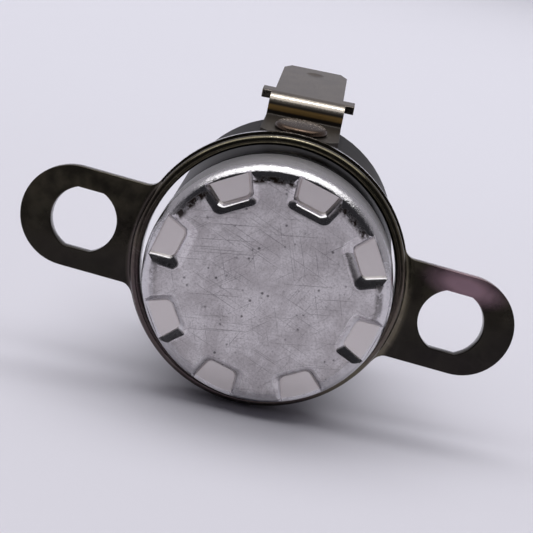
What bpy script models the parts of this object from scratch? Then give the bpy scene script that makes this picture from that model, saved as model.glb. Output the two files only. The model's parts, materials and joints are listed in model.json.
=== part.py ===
"""Snap-action disc thermostat of the kind that guards a microwave oven.

The sensing face looks along -Y and its centre is the origin.  The body runs
back along +Y, the two tab terminals lie at +Z and -Z, and the loose mounting
bracket rings the body with its two ears near -X and +X.
"""

import math

import bmesh
import bpy
from mathutils import Vector

MM = 0.001

# Aluminium cap
CAP_R = 7.68 * MM
CAP_WALL = 0.45 * MM
CAP_CORNER_R = 1.0 * MM
CAP_CURL_R = 0.40 * MM
CAP_CURL_THICK = 0.36 * MM
CAP_LIP_OVERHANG = 0.21 * MM
CRIMP_GAP = 0.11 * MM

# Dents pressed into the cap's face, each a seat for the disc inside
DENT_COUNT = 8
DENT_PHASE = math.radians(28.4)
DENT_FROM_EDGE = 0.58 * MM
DENT_LENGTH = 1.28 * MM
DENT_OUTER_WIDTH = 2.40 * MM
DENT_INNER_WIDTH = 1.78 * MM
DENT_DEPTH = 0.48 * MM
DENT_CORNER_R = 0.34 * MM
DENT_FLARE = 0.12 * MM

# Clearance left between inner pieces that rest on each other
SEAT_GAP = 0.20 * MM

# Bimetal disc
DISC_CLEARANCE = 0.73 * MM
DISC_THICK = 0.20 * MM
DISC_CROWN = 0.32 * MM

# Pin guide
GUIDE_CLEARANCE = 0.23 * MM
GUIDE_RIM_WIDTH = 0.80 * MM
GUIDE_RECESS = 0.34 * MM
GUIDE_THICK = 0.80 * MM
GUIDE_TUBE_R = 1.60 * MM
GUIDE_TUBE_LENGTH = 1.80 * MM
GUIDE_BORE_CLEARANCE = 0.15 * MM

# Transfer pin
PIN_R = 0.75 * MM
PIN_FREE_PLAY = 0.20 * MM
PIN_CHAMFER = 0.15 * MM

# Phenolic housing
FLANGE_CLEARANCE = 0.18 * MM
FLANGE_THICK = 0.50 * MM
NECK_CLEARANCE = 0.22 * MM
BODY_INSET = 0.06 * MM
BODY_END = 14.50 * MM
BODY_EDGE_R = 0.40 * MM
BACK_RIM_WIDTH = 2.62 * MM
BACK_RECESS_DEPTH = 0.40 * MM
SIDE_WALL = 2.02 * MM
CAVITY_FLAT_DEPTH = 0.40 * MM
BACK_WALL = 1.90 * MM
SIDE_FLAT_DEPTH = 0.48 * MM
SIDE_FLAT_LENGTH = 7.70 * MM

# Tab terminals, stamped from one strip and bent twice
TAB_THICK = 0.50 * MM
TAB_BEND_R = 0.30 * MM
TAB_SEAT_GAP = 0.10 * MM
TAB_FOOT_MARGIN = 2.00 * MM
TAB_RISER_INSET = 0.35 * MM
TAB_BLADE_RISE = 2.06 * MM
TAB_REACH = 9.35 * MM
TAB_SPLAY = math.radians(2.4)
TAB_FOOT_WIDTH = 5.20 * MM
TAB_SHOULDER_WIDTH = 6.45 * MM
TAB_SHOULDER_BEHIND = 0.70 * MM
TAB_SHOULDER_LENGTH = 1.10 * MM
TAB_BLADE_WIDTH = 4.80 * MM
TAB_TIP_CHAMFER = 0.50 * MM
TAB_FOOT_CORNER = 0.60 * MM
TAB_DIMPLE_R = 0.70 * MM
TAB_DIMPLE_DEPTH = 0.14 * MM
TAB_DIMPLE_FROM_END = 2.00 * MM

# Rivets that clamp each terminal to its inner strip
RIVET_FROM_BACK = 4.30 * MM
RIVET_SHANK_R = 0.80 * MM
RIVET_HOLE_CLEARANCE = 0.10 * MM
RIVET_HEAD_R = 1.75 * MM
RIVET_HEAD_HEIGHT = 0.62 * MM
RIVET_TAIL_R = 1.25 * MM
RIVET_TAIL_HEIGHT = 0.35 * MM

# Contact strips inside the cavity
STRIP_WALL_GAP = 0.10 * MM
STRIP_BEND_R = 0.25 * MM
STRIP_FOOT_MARGIN = 1.80 * MM
SPRING_THICK = 0.25 * MM
SPRING_ROOT_WIDTH = 3.60 * MM
SPRING_TIP_WIDTH = 2.30 * MM
SPRING_TIP_MARGIN = 0.10 * MM
FIXED_STRIP_THICK = 0.40 * MM
FIXED_STRIP_WIDTH = 3.20 * MM
CONTACT_R = 1.00 * MM
CONTACT_HEAD = 0.45 * MM
CONTACT_CROWN = 0.15 * MM
CONTACT_SHANK_R = 0.50 * MM
CONTACT_SHANK_CLEARANCE = 0.12 * MM
CONTACT_TAIL_R = 0.80 * MM
CONTACT_TAIL_HEIGHT = 0.22 * MM
CONTACT_GAP = 0.15 * MM

# Mounting bracket, a drawn collar with two ears, loose on the body
COLLAR_CLEARANCE = 0.38 * MM
COLLAR_WALL = 0.60 * MM
COLLAR_PROUD = 0.90 * MM
COLLAR_BACK_R = 0.45 * MM
PLATE_RIM = 0.16 * MM
PLATE_THICK = 0.80 * MM
EAR_NECK = 1.31 * MM
EAR_WIDTH = 6.50 * MM
EAR_END_OFFSET = 0.83 * MM
EAR_ROOT_R = 0.90 * MM
EAR_FILLET = 0.40 * MM
HOLE_R = 2.09 * MM
HOLE_HALF_HEIGHT = 1.92 * MM
BRACKET_ASIDE = 0.15 * MM
BRACKET_RAISED = 0.05 * MM
BRACKET_BEFORE_CRIMP = 0.45 * MM
BRACKET_TILT = math.radians(8.5)
BRACKET_YAW = math.radians(1.5)
BRACKET_TURN = math.radians(4.5)

# Facets
ROUND_STEPS = 64
INNER_STEPS = 48
SMALL_STEPS = 32
ARC_STEPS = 4

# Places and sizes along the axis, from the face to the crimp
SEAT_TOP = DENT_DEPTH + CAP_WALL
DISC_RIM_FRONT = SEAT_TOP + SEAT_GAP
GUIDE_FRONT = DISC_RIM_FRONT + DISC_THICK + SEAT_GAP
GUIDE_BACK = GUIDE_FRONT + GUIDE_THICK
FLANGE_FRONT = GUIDE_BACK + SEAT_GAP
FLANGE_BACK = FLANGE_FRONT + FLANGE_THICK
CAP_END = FLANGE_BACK + CRIMP_GAP + CAP_CURL_THICK
CAP_SKIRT_LENGTH = CAP_END - CAP_CURL_R
BODY_START = CAP_END + SEAT_GAP

# Radii that follow from the cap's
CAP_INNER_R = CAP_R - CAP_WALL
CAP_LIP_R = CAP_INNER_R - CAP_LIP_OVERHANG
DENT_OUTER_R = CAP_R - DENT_FROM_EDGE
DENT_INNER_R = DENT_OUTER_R - DENT_LENGTH
DISC_R = CAP_INNER_R - DISC_CLEARANCE
GUIDE_R = CAP_INNER_R - GUIDE_CLEARANCE
FLANGE_R = CAP_INNER_R - FLANGE_CLEARANCE
NECK_R = CAP_LIP_R - NECK_CLEARANCE
BODY_R = CAP_R - BODY_INSET
BACK_RECESS_R = BODY_R - BACK_RIM_WIDTH
CAVITY_R = BODY_R - SIDE_WALL
CAVITY_FLAT = CAVITY_R - CAVITY_FLAT_DEPTH
SIDE_FLAT = BODY_R - SIDE_FLAT_DEPTH

# Terminals and contacts, set out from the back of the housing and its flats
RIVET_Y = BODY_END - RIVET_FROM_BACK
SIDE_FLAT_START = BODY_END - SIDE_FLAT_LENGTH
FOOT_BOTTOM = SIDE_FLAT + TAB_SEAT_GAP
FOOT_TOP = FOOT_BOTTOM + TAB_THICK
TAB_FOOT_START = RIVET_Y - TAB_FOOT_MARGIN
TAB_RISER_FRONT = BODY_END - TAB_RISER_INSET
TAB_BLADE_TOP = SIDE_FLAT + TAB_BLADE_RISE
TAB_SHOULDER_START = TAB_RISER_FRONT + TAB_SHOULDER_BEHIND
TAB_END = TAB_RISER_FRONT + TAB_REACH
INNER_SEAT = CAVITY_FLAT - STRIP_WALL_GAP
STRIP_FOOT_END = RIVET_Y + STRIP_FOOT_MARGIN
SPRING_PLANE = RIVET_Y - STRIP_FOOT_MARGIN
CONTACT_REACH = TAB_SEAT_GAP + CONTACT_HEAD
FIXED_STRIP_PLANE = SPRING_PLANE - 2 * CONTACT_REACH - CONTACT_GAP - FIXED_STRIP_THICK
CONTACT_BELOW_AXIS = (PIN_R + INNER_SEAT) / 2
SPRING_TIP_BELOW_AXIS = CONTACT_BELOW_AXIS + SPRING_TIP_MARGIN

# Bracket, bored to clear the body; the ears' holes come out 24 mm apart
COLLAR_BORE_R = BODY_R + COLLAR_CLEARANCE
COLLAR_OUTER_R = COLLAR_BORE_R + COLLAR_WALL
PLATE_R = COLLAR_OUTER_R + PLATE_RIM
PLATE_FRONT = COLLAR_PROUD - COLLAR_WALL / 2
PLATE_BACK = PLATE_FRONT + PLATE_THICK
EAR_PITCH = 2 * (COLLAR_OUTER_R + EAR_NECK + HOLE_R)
BRACKET_CENTRE = (-BRACKET_ASIDE, CAP_END - BRACKET_BEFORE_CRIMP, BRACKET_RAISED)


def clear_scene():
    """Remove every object of the file the script runs in."""
    for item in list(bpy.data.objects):
        bpy.data.objects.remove(item, do_unlink=True)


def finish(name, colour, roughness, metallic):
    """Return a Principled material."""
    material = bpy.data.materials.new(name)
    material.use_nodes = True
    shader = material.node_tree.nodes["Principled BSDF"]
    shader.inputs["Base Color"].default_value = (*colour, 1.0)
    shader.inputs["Roughness"].default_value = roughness
    shader.inputs["Metallic"].default_value = metallic
    return material


def make_object(name, mesh_data, material=None, smooth=True):
    """Turn a bmesh into a linked object and free the bmesh."""
    bmesh.ops.recalc_face_normals(mesh_data, faces=mesh_data.faces)
    mesh = bpy.data.meshes.new(name)
    mesh_data.to_mesh(mesh)
    mesh_data.free()
    if smooth:
        mesh.shade_smooth()
        mesh.set_sharp_from_angle(angle=math.radians(35))
    item = bpy.data.objects.new(name, mesh)
    bpy.context.collection.objects.link(item)
    if material is not None:
        mesh.materials.append(material)
    return item


def make_tool(name, mesh_data):
    """Make an object that only cuts or joins, hidden from the render."""
    tool = make_object(name, mesh_data, smooth=False)
    tool.hide_render = True
    tool.display_type = "WIRE"
    return tool


def combine(target, tool, operation):
    """Apply a live boolean of the tool to the target."""
    modifier = target.modifiers.new(tool.name, "BOOLEAN")
    modifier.operation = operation
    modifier.solver = "EXACT"
    modifier.object = tool


def lathe(profile, steps):
    """Spin a closed profile of (radius, y) points about the Y axis."""
    mesh_data = bmesh.new()
    corners = [mesh_data.verts.new((radius, y, 0.0)) for radius, y in profile]
    edges = []
    for start, end in zip(corners, corners[1:] + corners[:1]):
        if start.co.x > 0.0 or end.co.x > 0.0:
            edges.append(mesh_data.edges.new((start, end)))
    bmesh.ops.spin(
        mesh_data, geom=edges, cent=(0, 0, 0), axis=(0, 1, 0), angle=math.tau,
        steps=steps, use_merge=True, use_normal_flip=False, use_duplicate=False)
    bmesh.ops.remove_doubles(mesh_data, verts=mesh_data.verts, dist=1e-7)
    return mesh_data


def stand_up(mesh_data, x, y):
    """Turn a lathe shape from the Y axis to the Z axis, at (x, y)."""
    for vertex in mesh_data.verts:
        old = vertex.co.copy()
        vertex.co = (x + old.x, y - old.z, old.y)
    return mesh_data


def place_point(u, v, depth, axis):
    """Put an outline's point at a depth along the prism's axis."""
    if axis == "X":
        return (depth, u, v)
    if axis == "Y":
        return (u, depth, v)
    return (u, v, depth)


def add_loft(mesh_data, loops):
    """Skin equal loops of points in order and close both ends."""
    rings = [[mesh_data.verts.new(point) for point in loop] for loop in loops]
    for lower, upper in zip(rings, rings[1:]):
        count = len(lower)
        for index in range(count):
            after = (index + 1) % count
            mesh_data.faces.new(
                (lower[index], lower[after], upper[after], upper[index]))
    mesh_data.faces.new(rings[0])
    mesh_data.faces.new(rings[-1])
    return mesh_data


def prism(outline, low, high, axis):
    """Extrude an outline between two depths along an axis."""
    loops = [[place_point(u, v, depth, axis) for u, v in outline]
             for depth in (low, high)]
    return add_loft(bmesh.new(), loops)


def arc(centre_u, centre_v, radius, start, end, steps):
    """Points of an arc, both ends included."""
    points = []
    for step in range(steps + 1):
        angle = start + (end - start) * step / steps
        points.append((centre_u + radius * math.cos(angle),
                       centre_v + radius * math.sin(angle)))
    return points


def rounded_corner(before, corner, after, radius, steps):
    """Points of the fillet that replaces one corner of an outline."""
    corner_v = Vector(corner)
    back = (Vector(before) - corner_v).normalized()
    ahead = (Vector(after) - corner_v).normalized()
    half = back.angle(ahead) / 2
    reach = radius / math.tan(half)
    centre = corner_v + (back + ahead).normalized() * (radius / math.sin(half))
    first = corner_v + back * reach - centre
    last = corner_v + ahead * reach - centre
    turn = first.angle_signed(last)
    start = math.atan2(first.y, first.x)
    return arc(centre.x, centre.y, radius, start, start - turn, steps)


def flatted_disc(radius, flat, steps):
    """Circle of a radius with a flat at +v and at -v."""
    limit = math.asin(flat / radius)
    return (arc(0, 0, radius, -limit, limit, steps)
            + arc(0, 0, radius, math.pi - limit, math.pi + limit, steps))


def strip_outline(corners, thickness, inner_radius, steps):
    """Side outline of a strip bent at each inner corner of its middle line."""
    points = [Vector(corner) for corner in corners]
    half = thickness / 2
    middle_radius = inner_radius + half
    stations = []
    first_way = (points[1] - points[0]).normalized()
    stations.append((points[0], Vector((-first_way.y, first_way.x))))
    for before, corner, after in zip(points, points[1:], points[2:]):
        way_in = (corner - before).normalized()
        way_out = (after - corner).normalized()
        turn = math.atan2(way_in.cross(way_out), way_in.dot(way_out))
        side = math.copysign(1.0, turn)
        reach = middle_radius * math.tan(abs(turn) / 2)
        left = Vector((-way_in.y, way_in.x))
        centre = corner - way_in * reach + left * side * middle_radius
        for step in range(steps + 1):
            bend = turn * step / steps
            normal = Vector((left.x * math.cos(bend) - left.y * math.sin(bend),
                             left.x * math.sin(bend) + left.y * math.cos(bend)))
            stations.append((centre - normal * side * middle_radius, normal))
    last_way = (points[-1] - points[-2]).normalized()
    stations.append((points[-1], Vector((-last_way.y, last_way.x))))
    one_side = [tuple(point + normal * half) for point, normal in stations]
    other_side = [tuple(point - normal * half) for point, normal in stations]
    return one_side + other_side[::-1]


def dent_outline(index, grow):
    """Trapezoid of one dent on the face, wider by grow on every side."""
    angle = math.pi / 2 + DENT_PHASE - index * math.tau / DENT_COUNT
    outward = Vector((math.cos(angle), math.sin(angle)))
    along = Vector((-outward.y, outward.x))
    outer_r = DENT_OUTER_R + grow
    inner_r = DENT_INNER_R - grow
    outer_half = DENT_OUTER_WIDTH / 2 + grow
    inner_half = DENT_INNER_WIDTH / 2 + grow
    corner_r = DENT_CORNER_R + grow
    wide_left = tuple(outward * outer_r + along * outer_half)
    wide_right = tuple(outward * outer_r - along * outer_half)
    narrow_right = tuple(outward * inner_r - along * inner_half)
    narrow_left = tuple(outward * inner_r + along * inner_half)
    return ([wide_left, wide_right]
            + rounded_corner(wide_right, narrow_right, narrow_left, corner_r, ARC_STEPS)
            + rounded_corner(narrow_right, narrow_left, wide_left, corner_r, ARC_STEPS))


def dent_tools():
    """The punches outside the face and the bosses they raise inside."""
    punches = bmesh.new()
    bosses = bmesh.new()
    reach = CAP_CORNER_R
    for index in range(DENT_COUNT):
        mouth_grow = DENT_FLARE * (1 + reach / DENT_DEPTH)
        mouth = [(x, -reach, z) for x, z in dent_outline(index, mouth_grow)]
        floor = [(x, DENT_DEPTH, z) for x, z in dent_outline(index, 0.0)]
        add_loft(punches, [mouth, floor])
        boss_grow = CAP_WALL / 2
        root = [(x, CAP_WALL / 2, z) for x, z in dent_outline(index, boss_grow)]
        top = [(x, SEAT_TOP, z) for x, z in dent_outline(index, boss_grow)]
        add_loft(bosses, [root, top])
    return punches, bosses


def build_cap(material):
    """Drawn cap: flat face, rounded corner, skirt curled in over the housing."""
    inner_corner = CAP_CORNER_R - CAP_WALL
    outer_corner = arc(CAP_R - CAP_CORNER_R, CAP_CORNER_R, CAP_CORNER_R,
                       -math.pi / 2, 0.0, 2 * ARC_STEPS)
    curl = arc(CAP_R - CAP_CURL_R, CAP_SKIRT_LENGTH, CAP_CURL_R,
               0.0, math.pi / 2, ARC_STEPS)
    inner_corner_arc = arc(CAP_INNER_R - inner_corner, CAP_CORNER_R, inner_corner,
                           0.0, -math.pi / 2, ARC_STEPS)
    profile = [(0.0, 0.0)] + outer_corner + curl
    profile += [(CAP_LIP_R, CAP_END), (CAP_LIP_R, CAP_END - CAP_CURL_THICK),
                (CAP_INNER_R, CAP_END - CAP_CURL_THICK)]
    profile += inner_corner_arc + [(0.0, CAP_WALL)]
    cap = make_object("sensing_cap", lathe(profile, ROUND_STEPS), material)
    punches, bosses = dent_tools()
    combine(cap, make_tool("dent_bosses", bosses), "UNION")
    combine(cap, make_tool("dent_punches", punches), "DIFFERENCE")
    return cap


def build_disc(material):
    """Dished bimetal disc, crowned towards the face while it is cold."""
    bulge_r = (DISC_R ** 2 + DISC_CROWN ** 2) / (2 * DISC_CROWN)
    spread = math.asin(DISC_R / bulge_r)
    front = []
    for step in range(ARC_STEPS + 2):
        angle = spread * step / (ARC_STEPS + 1)
        drop = bulge_r * (math.cos(angle) - math.cos(spread))
        front.append((bulge_r * math.sin(angle), DISC_RIM_FRONT - drop))
    front[0] = (0.0, front[0][1])
    back = [(radius, y + DISC_THICK) for radius, y in reversed(front)]
    return make_object("bimetal_disc", lathe(front + back, INNER_STEPS), material)


def build_guide(material):
    """Pin guide: a plate with a raised rim for the disc and a tube for the pin."""
    bore = PIN_R + GUIDE_BORE_CLEARANCE
    rim_inner = GUIDE_R - GUIDE_RIM_WIDTH
    recess = GUIDE_FRONT + GUIDE_RECESS
    tube_end = GUIDE_BACK + GUIDE_TUBE_LENGTH
    profile = [(bore, recess), (rim_inner, recess), (rim_inner, GUIDE_FRONT),
               (GUIDE_R, GUIDE_FRONT), (GUIDE_R, GUIDE_BACK),
               (GUIDE_TUBE_R, GUIDE_BACK), (GUIDE_TUBE_R, tube_end), (bore, tube_end)]
    return make_object("pin_guide", lathe(profile, INNER_STEPS), material)


def build_pin(material):
    """Ceramic pin between the disc and the contact spring, origin on its axis."""
    front = DISC_RIM_FRONT - DISC_CROWN + DISC_THICK + PIN_FREE_PLAY
    back = SPRING_PLANE - PIN_FREE_PLAY
    tip_r = PIN_R - PIN_CHAMFER
    profile = [(0.0, 0.0), (tip_r, 0.0), (PIN_R, PIN_CHAMFER),
               (PIN_R, back - front - PIN_CHAMFER), (tip_r, back - front),
               (0.0, back - front)]
    pin = make_object("transfer_pin", lathe(profile, SMALL_STEPS), material)
    pin.location = (0.0, front, 0.0)
    return pin


def build_housing(material):
    """Moulded cup: flange under the cap, side flats, cavity and rivet holes."""
    edge = arc(BODY_R - BODY_EDGE_R, BODY_END - BODY_EDGE_R, BODY_EDGE_R,
               0.0, math.pi / 2, ARC_STEPS)
    profile = [(0.0, FLANGE_FRONT), (FLANGE_R, FLANGE_FRONT), (FLANGE_R, FLANGE_BACK),
               (NECK_R, FLANGE_BACK), (NECK_R, BODY_START), (BODY_R, BODY_START)]
    profile += edge
    profile += [(BACK_RECESS_R, BODY_END), (BACK_RECESS_R, BODY_END - BACK_RECESS_DEPTH),
                (0.0, BODY_END - BACK_RECESS_DEPTH)]
    housing = make_object("housing", lathe(profile, ROUND_STEPS), material)
    cavity_end = BODY_END - BACK_WALL
    cavity = prism(flatted_disc(CAVITY_R, CAVITY_FLAT, SMALL_STEPS // 2),
                   FLANGE_FRONT - SEAT_GAP, cavity_end, "Y")
    combine(housing, make_tool("cavity_core", cavity), "DIFFERENCE")
    for side, name in ((1, "upper"), (-1, "lower")):
        far = 2 * BODY_R
        flat = prism([(-far, side * SIDE_FLAT), (far, side * SIDE_FLAT),
                      (far, side * far), (-far, side * far)],
                     SIDE_FLAT_START, BODY_END + BODY_EDGE_R, "Y")
        combine(housing, make_tool(name + "_flat_cut", flat), "DIFFERENCE")
        hole_r = RIVET_SHANK_R + RIVET_HOLE_CLEARANCE
        depths = sorted((side * CAVITY_FLAT / 2, side * far))
        hole = prism(arc(0.0, RIVET_Y, hole_r, 0.0, math.tau, SMALL_STEPS)[:-1],
                     depths[0], depths[1], "Z")
        combine(housing, make_tool(name + "_rivet_drill", hole), "DIFFERENCE")
    return housing


def terminal_side():
    """Side outline of the upper terminal: foot, riser and splayed blade."""
    half = TAB_THICK / 2
    foot_z = FOOT_BOTTOM + half
    riser_y = TAB_RISER_FRONT + half
    blade_z = TAB_BLADE_TOP - half
    end_z = blade_z + (TAB_END - riser_y) * math.tan(TAB_SPLAY)
    corners = [(TAB_FOOT_START, foot_z), (riser_y, foot_z),
               (riser_y, blade_z), (TAB_END, end_z)]
    return strip_outline(corners, TAB_THICK, TAB_BEND_R, ARC_STEPS)


def terminal_plan():
    """Plan outline of a terminal: foot, shoulders and chamfered blade."""
    foot = TAB_FOOT_WIDTH / 2
    shoulder = TAB_SHOULDER_WIDTH / 2
    blade = TAB_BLADE_WIDTH / 2
    shoulder_end = TAB_SHOULDER_START + TAB_SHOULDER_LENGTH
    far = TAB_END + TAB_THICK
    chamfer_start = TAB_END - 2 * TAB_TIP_CHAMFER
    half = [(foot - TAB_FOOT_CORNER, TAB_FOOT_START - TAB_THICK),
            (foot - TAB_FOOT_CORNER, TAB_FOOT_START),
            (foot, TAB_FOOT_START + TAB_FOOT_CORNER),
            (foot, TAB_SHOULDER_START), (shoulder, TAB_SHOULDER_START),
            (shoulder, shoulder_end), (blade, shoulder_end), (blade, chamfer_start),
            (blade - TAB_TIP_CHAMFER, TAB_END), (blade - TAB_TIP_CHAMFER, far)]
    return half + [(-x, y) for x, y in reversed(half)]


def build_terminal(name, side, material):
    """One tab terminal; side is 1 for the upper one and -1 for the lower."""
    outline = [(y, side * z) for y, z in terminal_side()]
    half_width = TAB_SHOULDER_WIDTH / 2 + TAB_THICK
    terminal = make_object(name, prism(outline, -half_width, half_width, "X"), material)
    depths = sorted((side * CAVITY_FLAT, side * 2 * TAB_BLADE_TOP))
    plan = prism(terminal_plan(), depths[0], depths[1], "Z")
    combine(terminal, make_tool(name + "_plan", plan), "INTERSECT")
    hole_r = RIVET_SHANK_R + RIVET_HOLE_CLEARANCE
    hole = prism(arc(0.0, RIVET_Y, hole_r, 0.0, math.tau, SMALL_STEPS)[:-1],
                 depths[0], depths[1], "Z")
    combine(terminal, make_tool(name + "_hole", hole), "DIFFERENCE")
    dimple_y = TAB_END - TAB_DIMPLE_FROM_END
    rise = (dimple_y - TAB_RISER_FRONT) * math.tan(TAB_SPLAY)
    surface = TAB_BLADE_TOP + rise
    ball_r = (TAB_DIMPLE_R ** 2 + TAB_DIMPLE_DEPTH ** 2) / (2 * TAB_DIMPLE_DEPTH)
    ball = bmesh.new()
    bmesh.ops.create_uvsphere(ball, u_segments=SMALL_STEPS, v_segments=2 * SMALL_STEPS,
                              radius=ball_r)
    centre_z = surface + ball_r - TAB_DIMPLE_DEPTH
    bmesh.ops.translate(ball, verts=ball.verts, vec=(0.0, dimple_y, side * centre_z))
    combine(terminal, make_tool(name + "_dimple", ball), "DIFFERENCE")
    return terminal


def build_rivet(name, side, inner_face, material):
    """Rivet with a domed head outside and a flared tail in the cavity."""
    head_base = FOOT_TOP + TAB_SEAT_GAP
    tail_top = inner_face - TAB_SEAT_GAP
    ball_r = (RIVET_HEAD_R ** 2 + RIVET_HEAD_HEIGHT ** 2) / (2 * RIVET_HEAD_HEIGHT)
    spread = math.asin(RIVET_HEAD_R / ball_r)
    dome = []
    for step in range(ARC_STEPS + 2):
        angle = spread * (1 - step / (ARC_STEPS + 1))
        height = ball_r * (math.cos(angle) - math.cos(spread))
        dome.append((ball_r * math.sin(angle), head_base + height))
    dome[-1] = (0.0, head_base + RIVET_HEAD_HEIGHT)
    profile = [(0.0, tail_top - RIVET_TAIL_HEIGHT),
               (RIVET_TAIL_R, tail_top - RIVET_TAIL_HEIGHT), (RIVET_TAIL_R, tail_top),
               (RIVET_SHANK_R, tail_top), (RIVET_SHANK_R, head_base)]
    profile = [(radius, side * z) for radius, z in profile + dome]
    return make_object(name, stand_up(lathe(profile, SMALL_STEPS), 0.0, RIVET_Y), material)


def strip_hole(name, x, along, radius, low, high, axis):
    """A round cutter for a strip's hole."""
    outline = arc(x, along, radius, 0.0, math.tau, SMALL_STEPS)[:-1]
    return make_tool(name, prism(outline, low, high, axis))


def build_inner_strip(name, side, plane, thickness, plan, material):
    """Strip riveted inside the cavity and bent down across the axis."""
    half = thickness / 2
    foot_z = side * (INNER_SEAT - half)
    tip_z = plan[len(plan) // 2][1]
    corners = [(STRIP_FOOT_END, foot_z), (plane + half, foot_z), (plane + half, tip_z)]
    outline = strip_outline(corners, thickness, STRIP_BEND_R, ARC_STEPS)
    strip = make_object(name, prism(outline, -CAVITY_R, CAVITY_R, "X"), material)
    shape = prism(plan, plane - thickness, STRIP_FOOT_END + thickness, "Y")
    combine(strip, make_tool(name + "_plan", shape), "INTERSECT")
    hole_r = RIVET_SHANK_R + RIVET_HOLE_CLEARANCE
    depths = sorted((side * (INNER_SEAT - 3 * thickness), side * CAVITY_R))
    rivet_hole = strip_hole(name + "_rivet_hole", 0.0, RIVET_Y, hole_r,
                            depths[0], depths[1], "Z")
    combine(strip, rivet_hole, "DIFFERENCE")
    shank_hole = strip_hole(name + "_contact_hole", 0.0, -CONTACT_BELOW_AXIS,
                            CONTACT_SHANK_R + CONTACT_SHANK_CLEARANCE,
                            plane - thickness, plane + 2 * thickness, "Y")
    combine(strip, shank_hole, "DIFFERENCE")
    return strip


def spring_plan():
    """Front outline of the contact spring, tapered to a round tip."""
    root = SPRING_ROOT_WIDTH / 2
    tip = SPRING_TIP_WIDTH / 2
    top = INNER_SEAT + SPRING_THICK
    taper_start = INNER_SEAT - 2 * SPRING_THICK
    tip_centre = -SPRING_TIP_BELOW_AXIS
    lower = arc(0.0, tip_centre, tip, 0.0, -math.pi, 2 * ARC_STEPS)
    return [(root, top), (root, taper_start)] + lower + [(-root, taper_start), (-root, top)]


def fixed_strip_plan():
    """Front outline of the fixed contact's strip."""
    half = FIXED_STRIP_WIDTH / 2
    low = -INNER_SEAT - FIXED_STRIP_THICK
    high = -CONTACT_BELOW_AXIS + CONTACT_R
    corner = FIXED_STRIP_THICK
    return [(-half, low), (-half, high - corner), (-half + corner, high),
            (half - corner, high), (half, high - corner), (half, low)]


def build_contact(name, seat, way, strip_thick, material):
    """Silver contact; way is the sign of Y in which its crowned face looks."""
    head_base = seat + way * TAB_SEAT_GAP
    face = head_base + way * CONTACT_HEAD
    tail_base = seat - way * (strip_thick + TAB_SEAT_GAP)
    tail_end = tail_base - way * CONTACT_TAIL_HEIGHT
    profile = [(0.0, face), (CONTACT_R / 2, face - way * CONTACT_CROWN / 4),
               (CONTACT_R, face - way * CONTACT_CROWN), (CONTACT_R, head_base),
               (CONTACT_SHANK_R, head_base), (CONTACT_SHANK_R, tail_base),
               (CONTACT_TAIL_R, tail_base), (CONTACT_TAIL_R, tail_end), (0.0, tail_end)]
    local = [(radius, y - seat) for radius, y in profile]
    contact = make_object(name, lathe(local, SMALL_STEPS), material)
    contact.location = (0.0, seat, -CONTACT_BELOW_AXIS)
    return contact


def ear_outline(side):
    """Outline of one ear from inside the collar to its round end."""
    half = EAR_WIDTH / 2
    end_x = EAR_PITCH / 2 + EAR_END_OFFSET
    root_r = COLLAR_BORE_R + COLLAR_WALL / 2
    reach = math.asin(half / root_r)
    root = arc(0.0, 0.0, root_r, reach, -reach, 3 * ARC_STEPS)
    round_end = arc(end_x, 0.0, half, -math.pi / 2, math.pi / 2, 4 * ARC_STEPS)
    return [(side * x, z) for x, z in root + round_end]


def root_outline(side, above):
    """Small web that fills the corner between an ear's edge and the ring."""
    half = EAR_WIDTH / 2
    centre_z = half + EAR_ROOT_R
    centre_x = math.sqrt((PLATE_R + EAR_ROOT_R) ** 2 - centre_z ** 2)
    ring_angle = math.atan2(centre_z, centre_x)
    start = -math.pi / 2
    end = -math.pi + ring_angle
    fillet = arc(centre_x, centre_z, EAR_ROOT_R, start, end, ARC_STEPS)
    inner = [(COLLAR_OUTER_R * math.cos(ring_angle) - COLLAR_WALL / 4,
              COLLAR_OUTER_R * math.sin(ring_angle)),
             (COLLAR_OUTER_R * math.cos(ring_angle), half - EAR_ROOT_R / 2),
             (centre_x, half - EAR_ROOT_R / 2)]
    return [(side * x, above * z) for x, z in fillet + inner]


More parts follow.
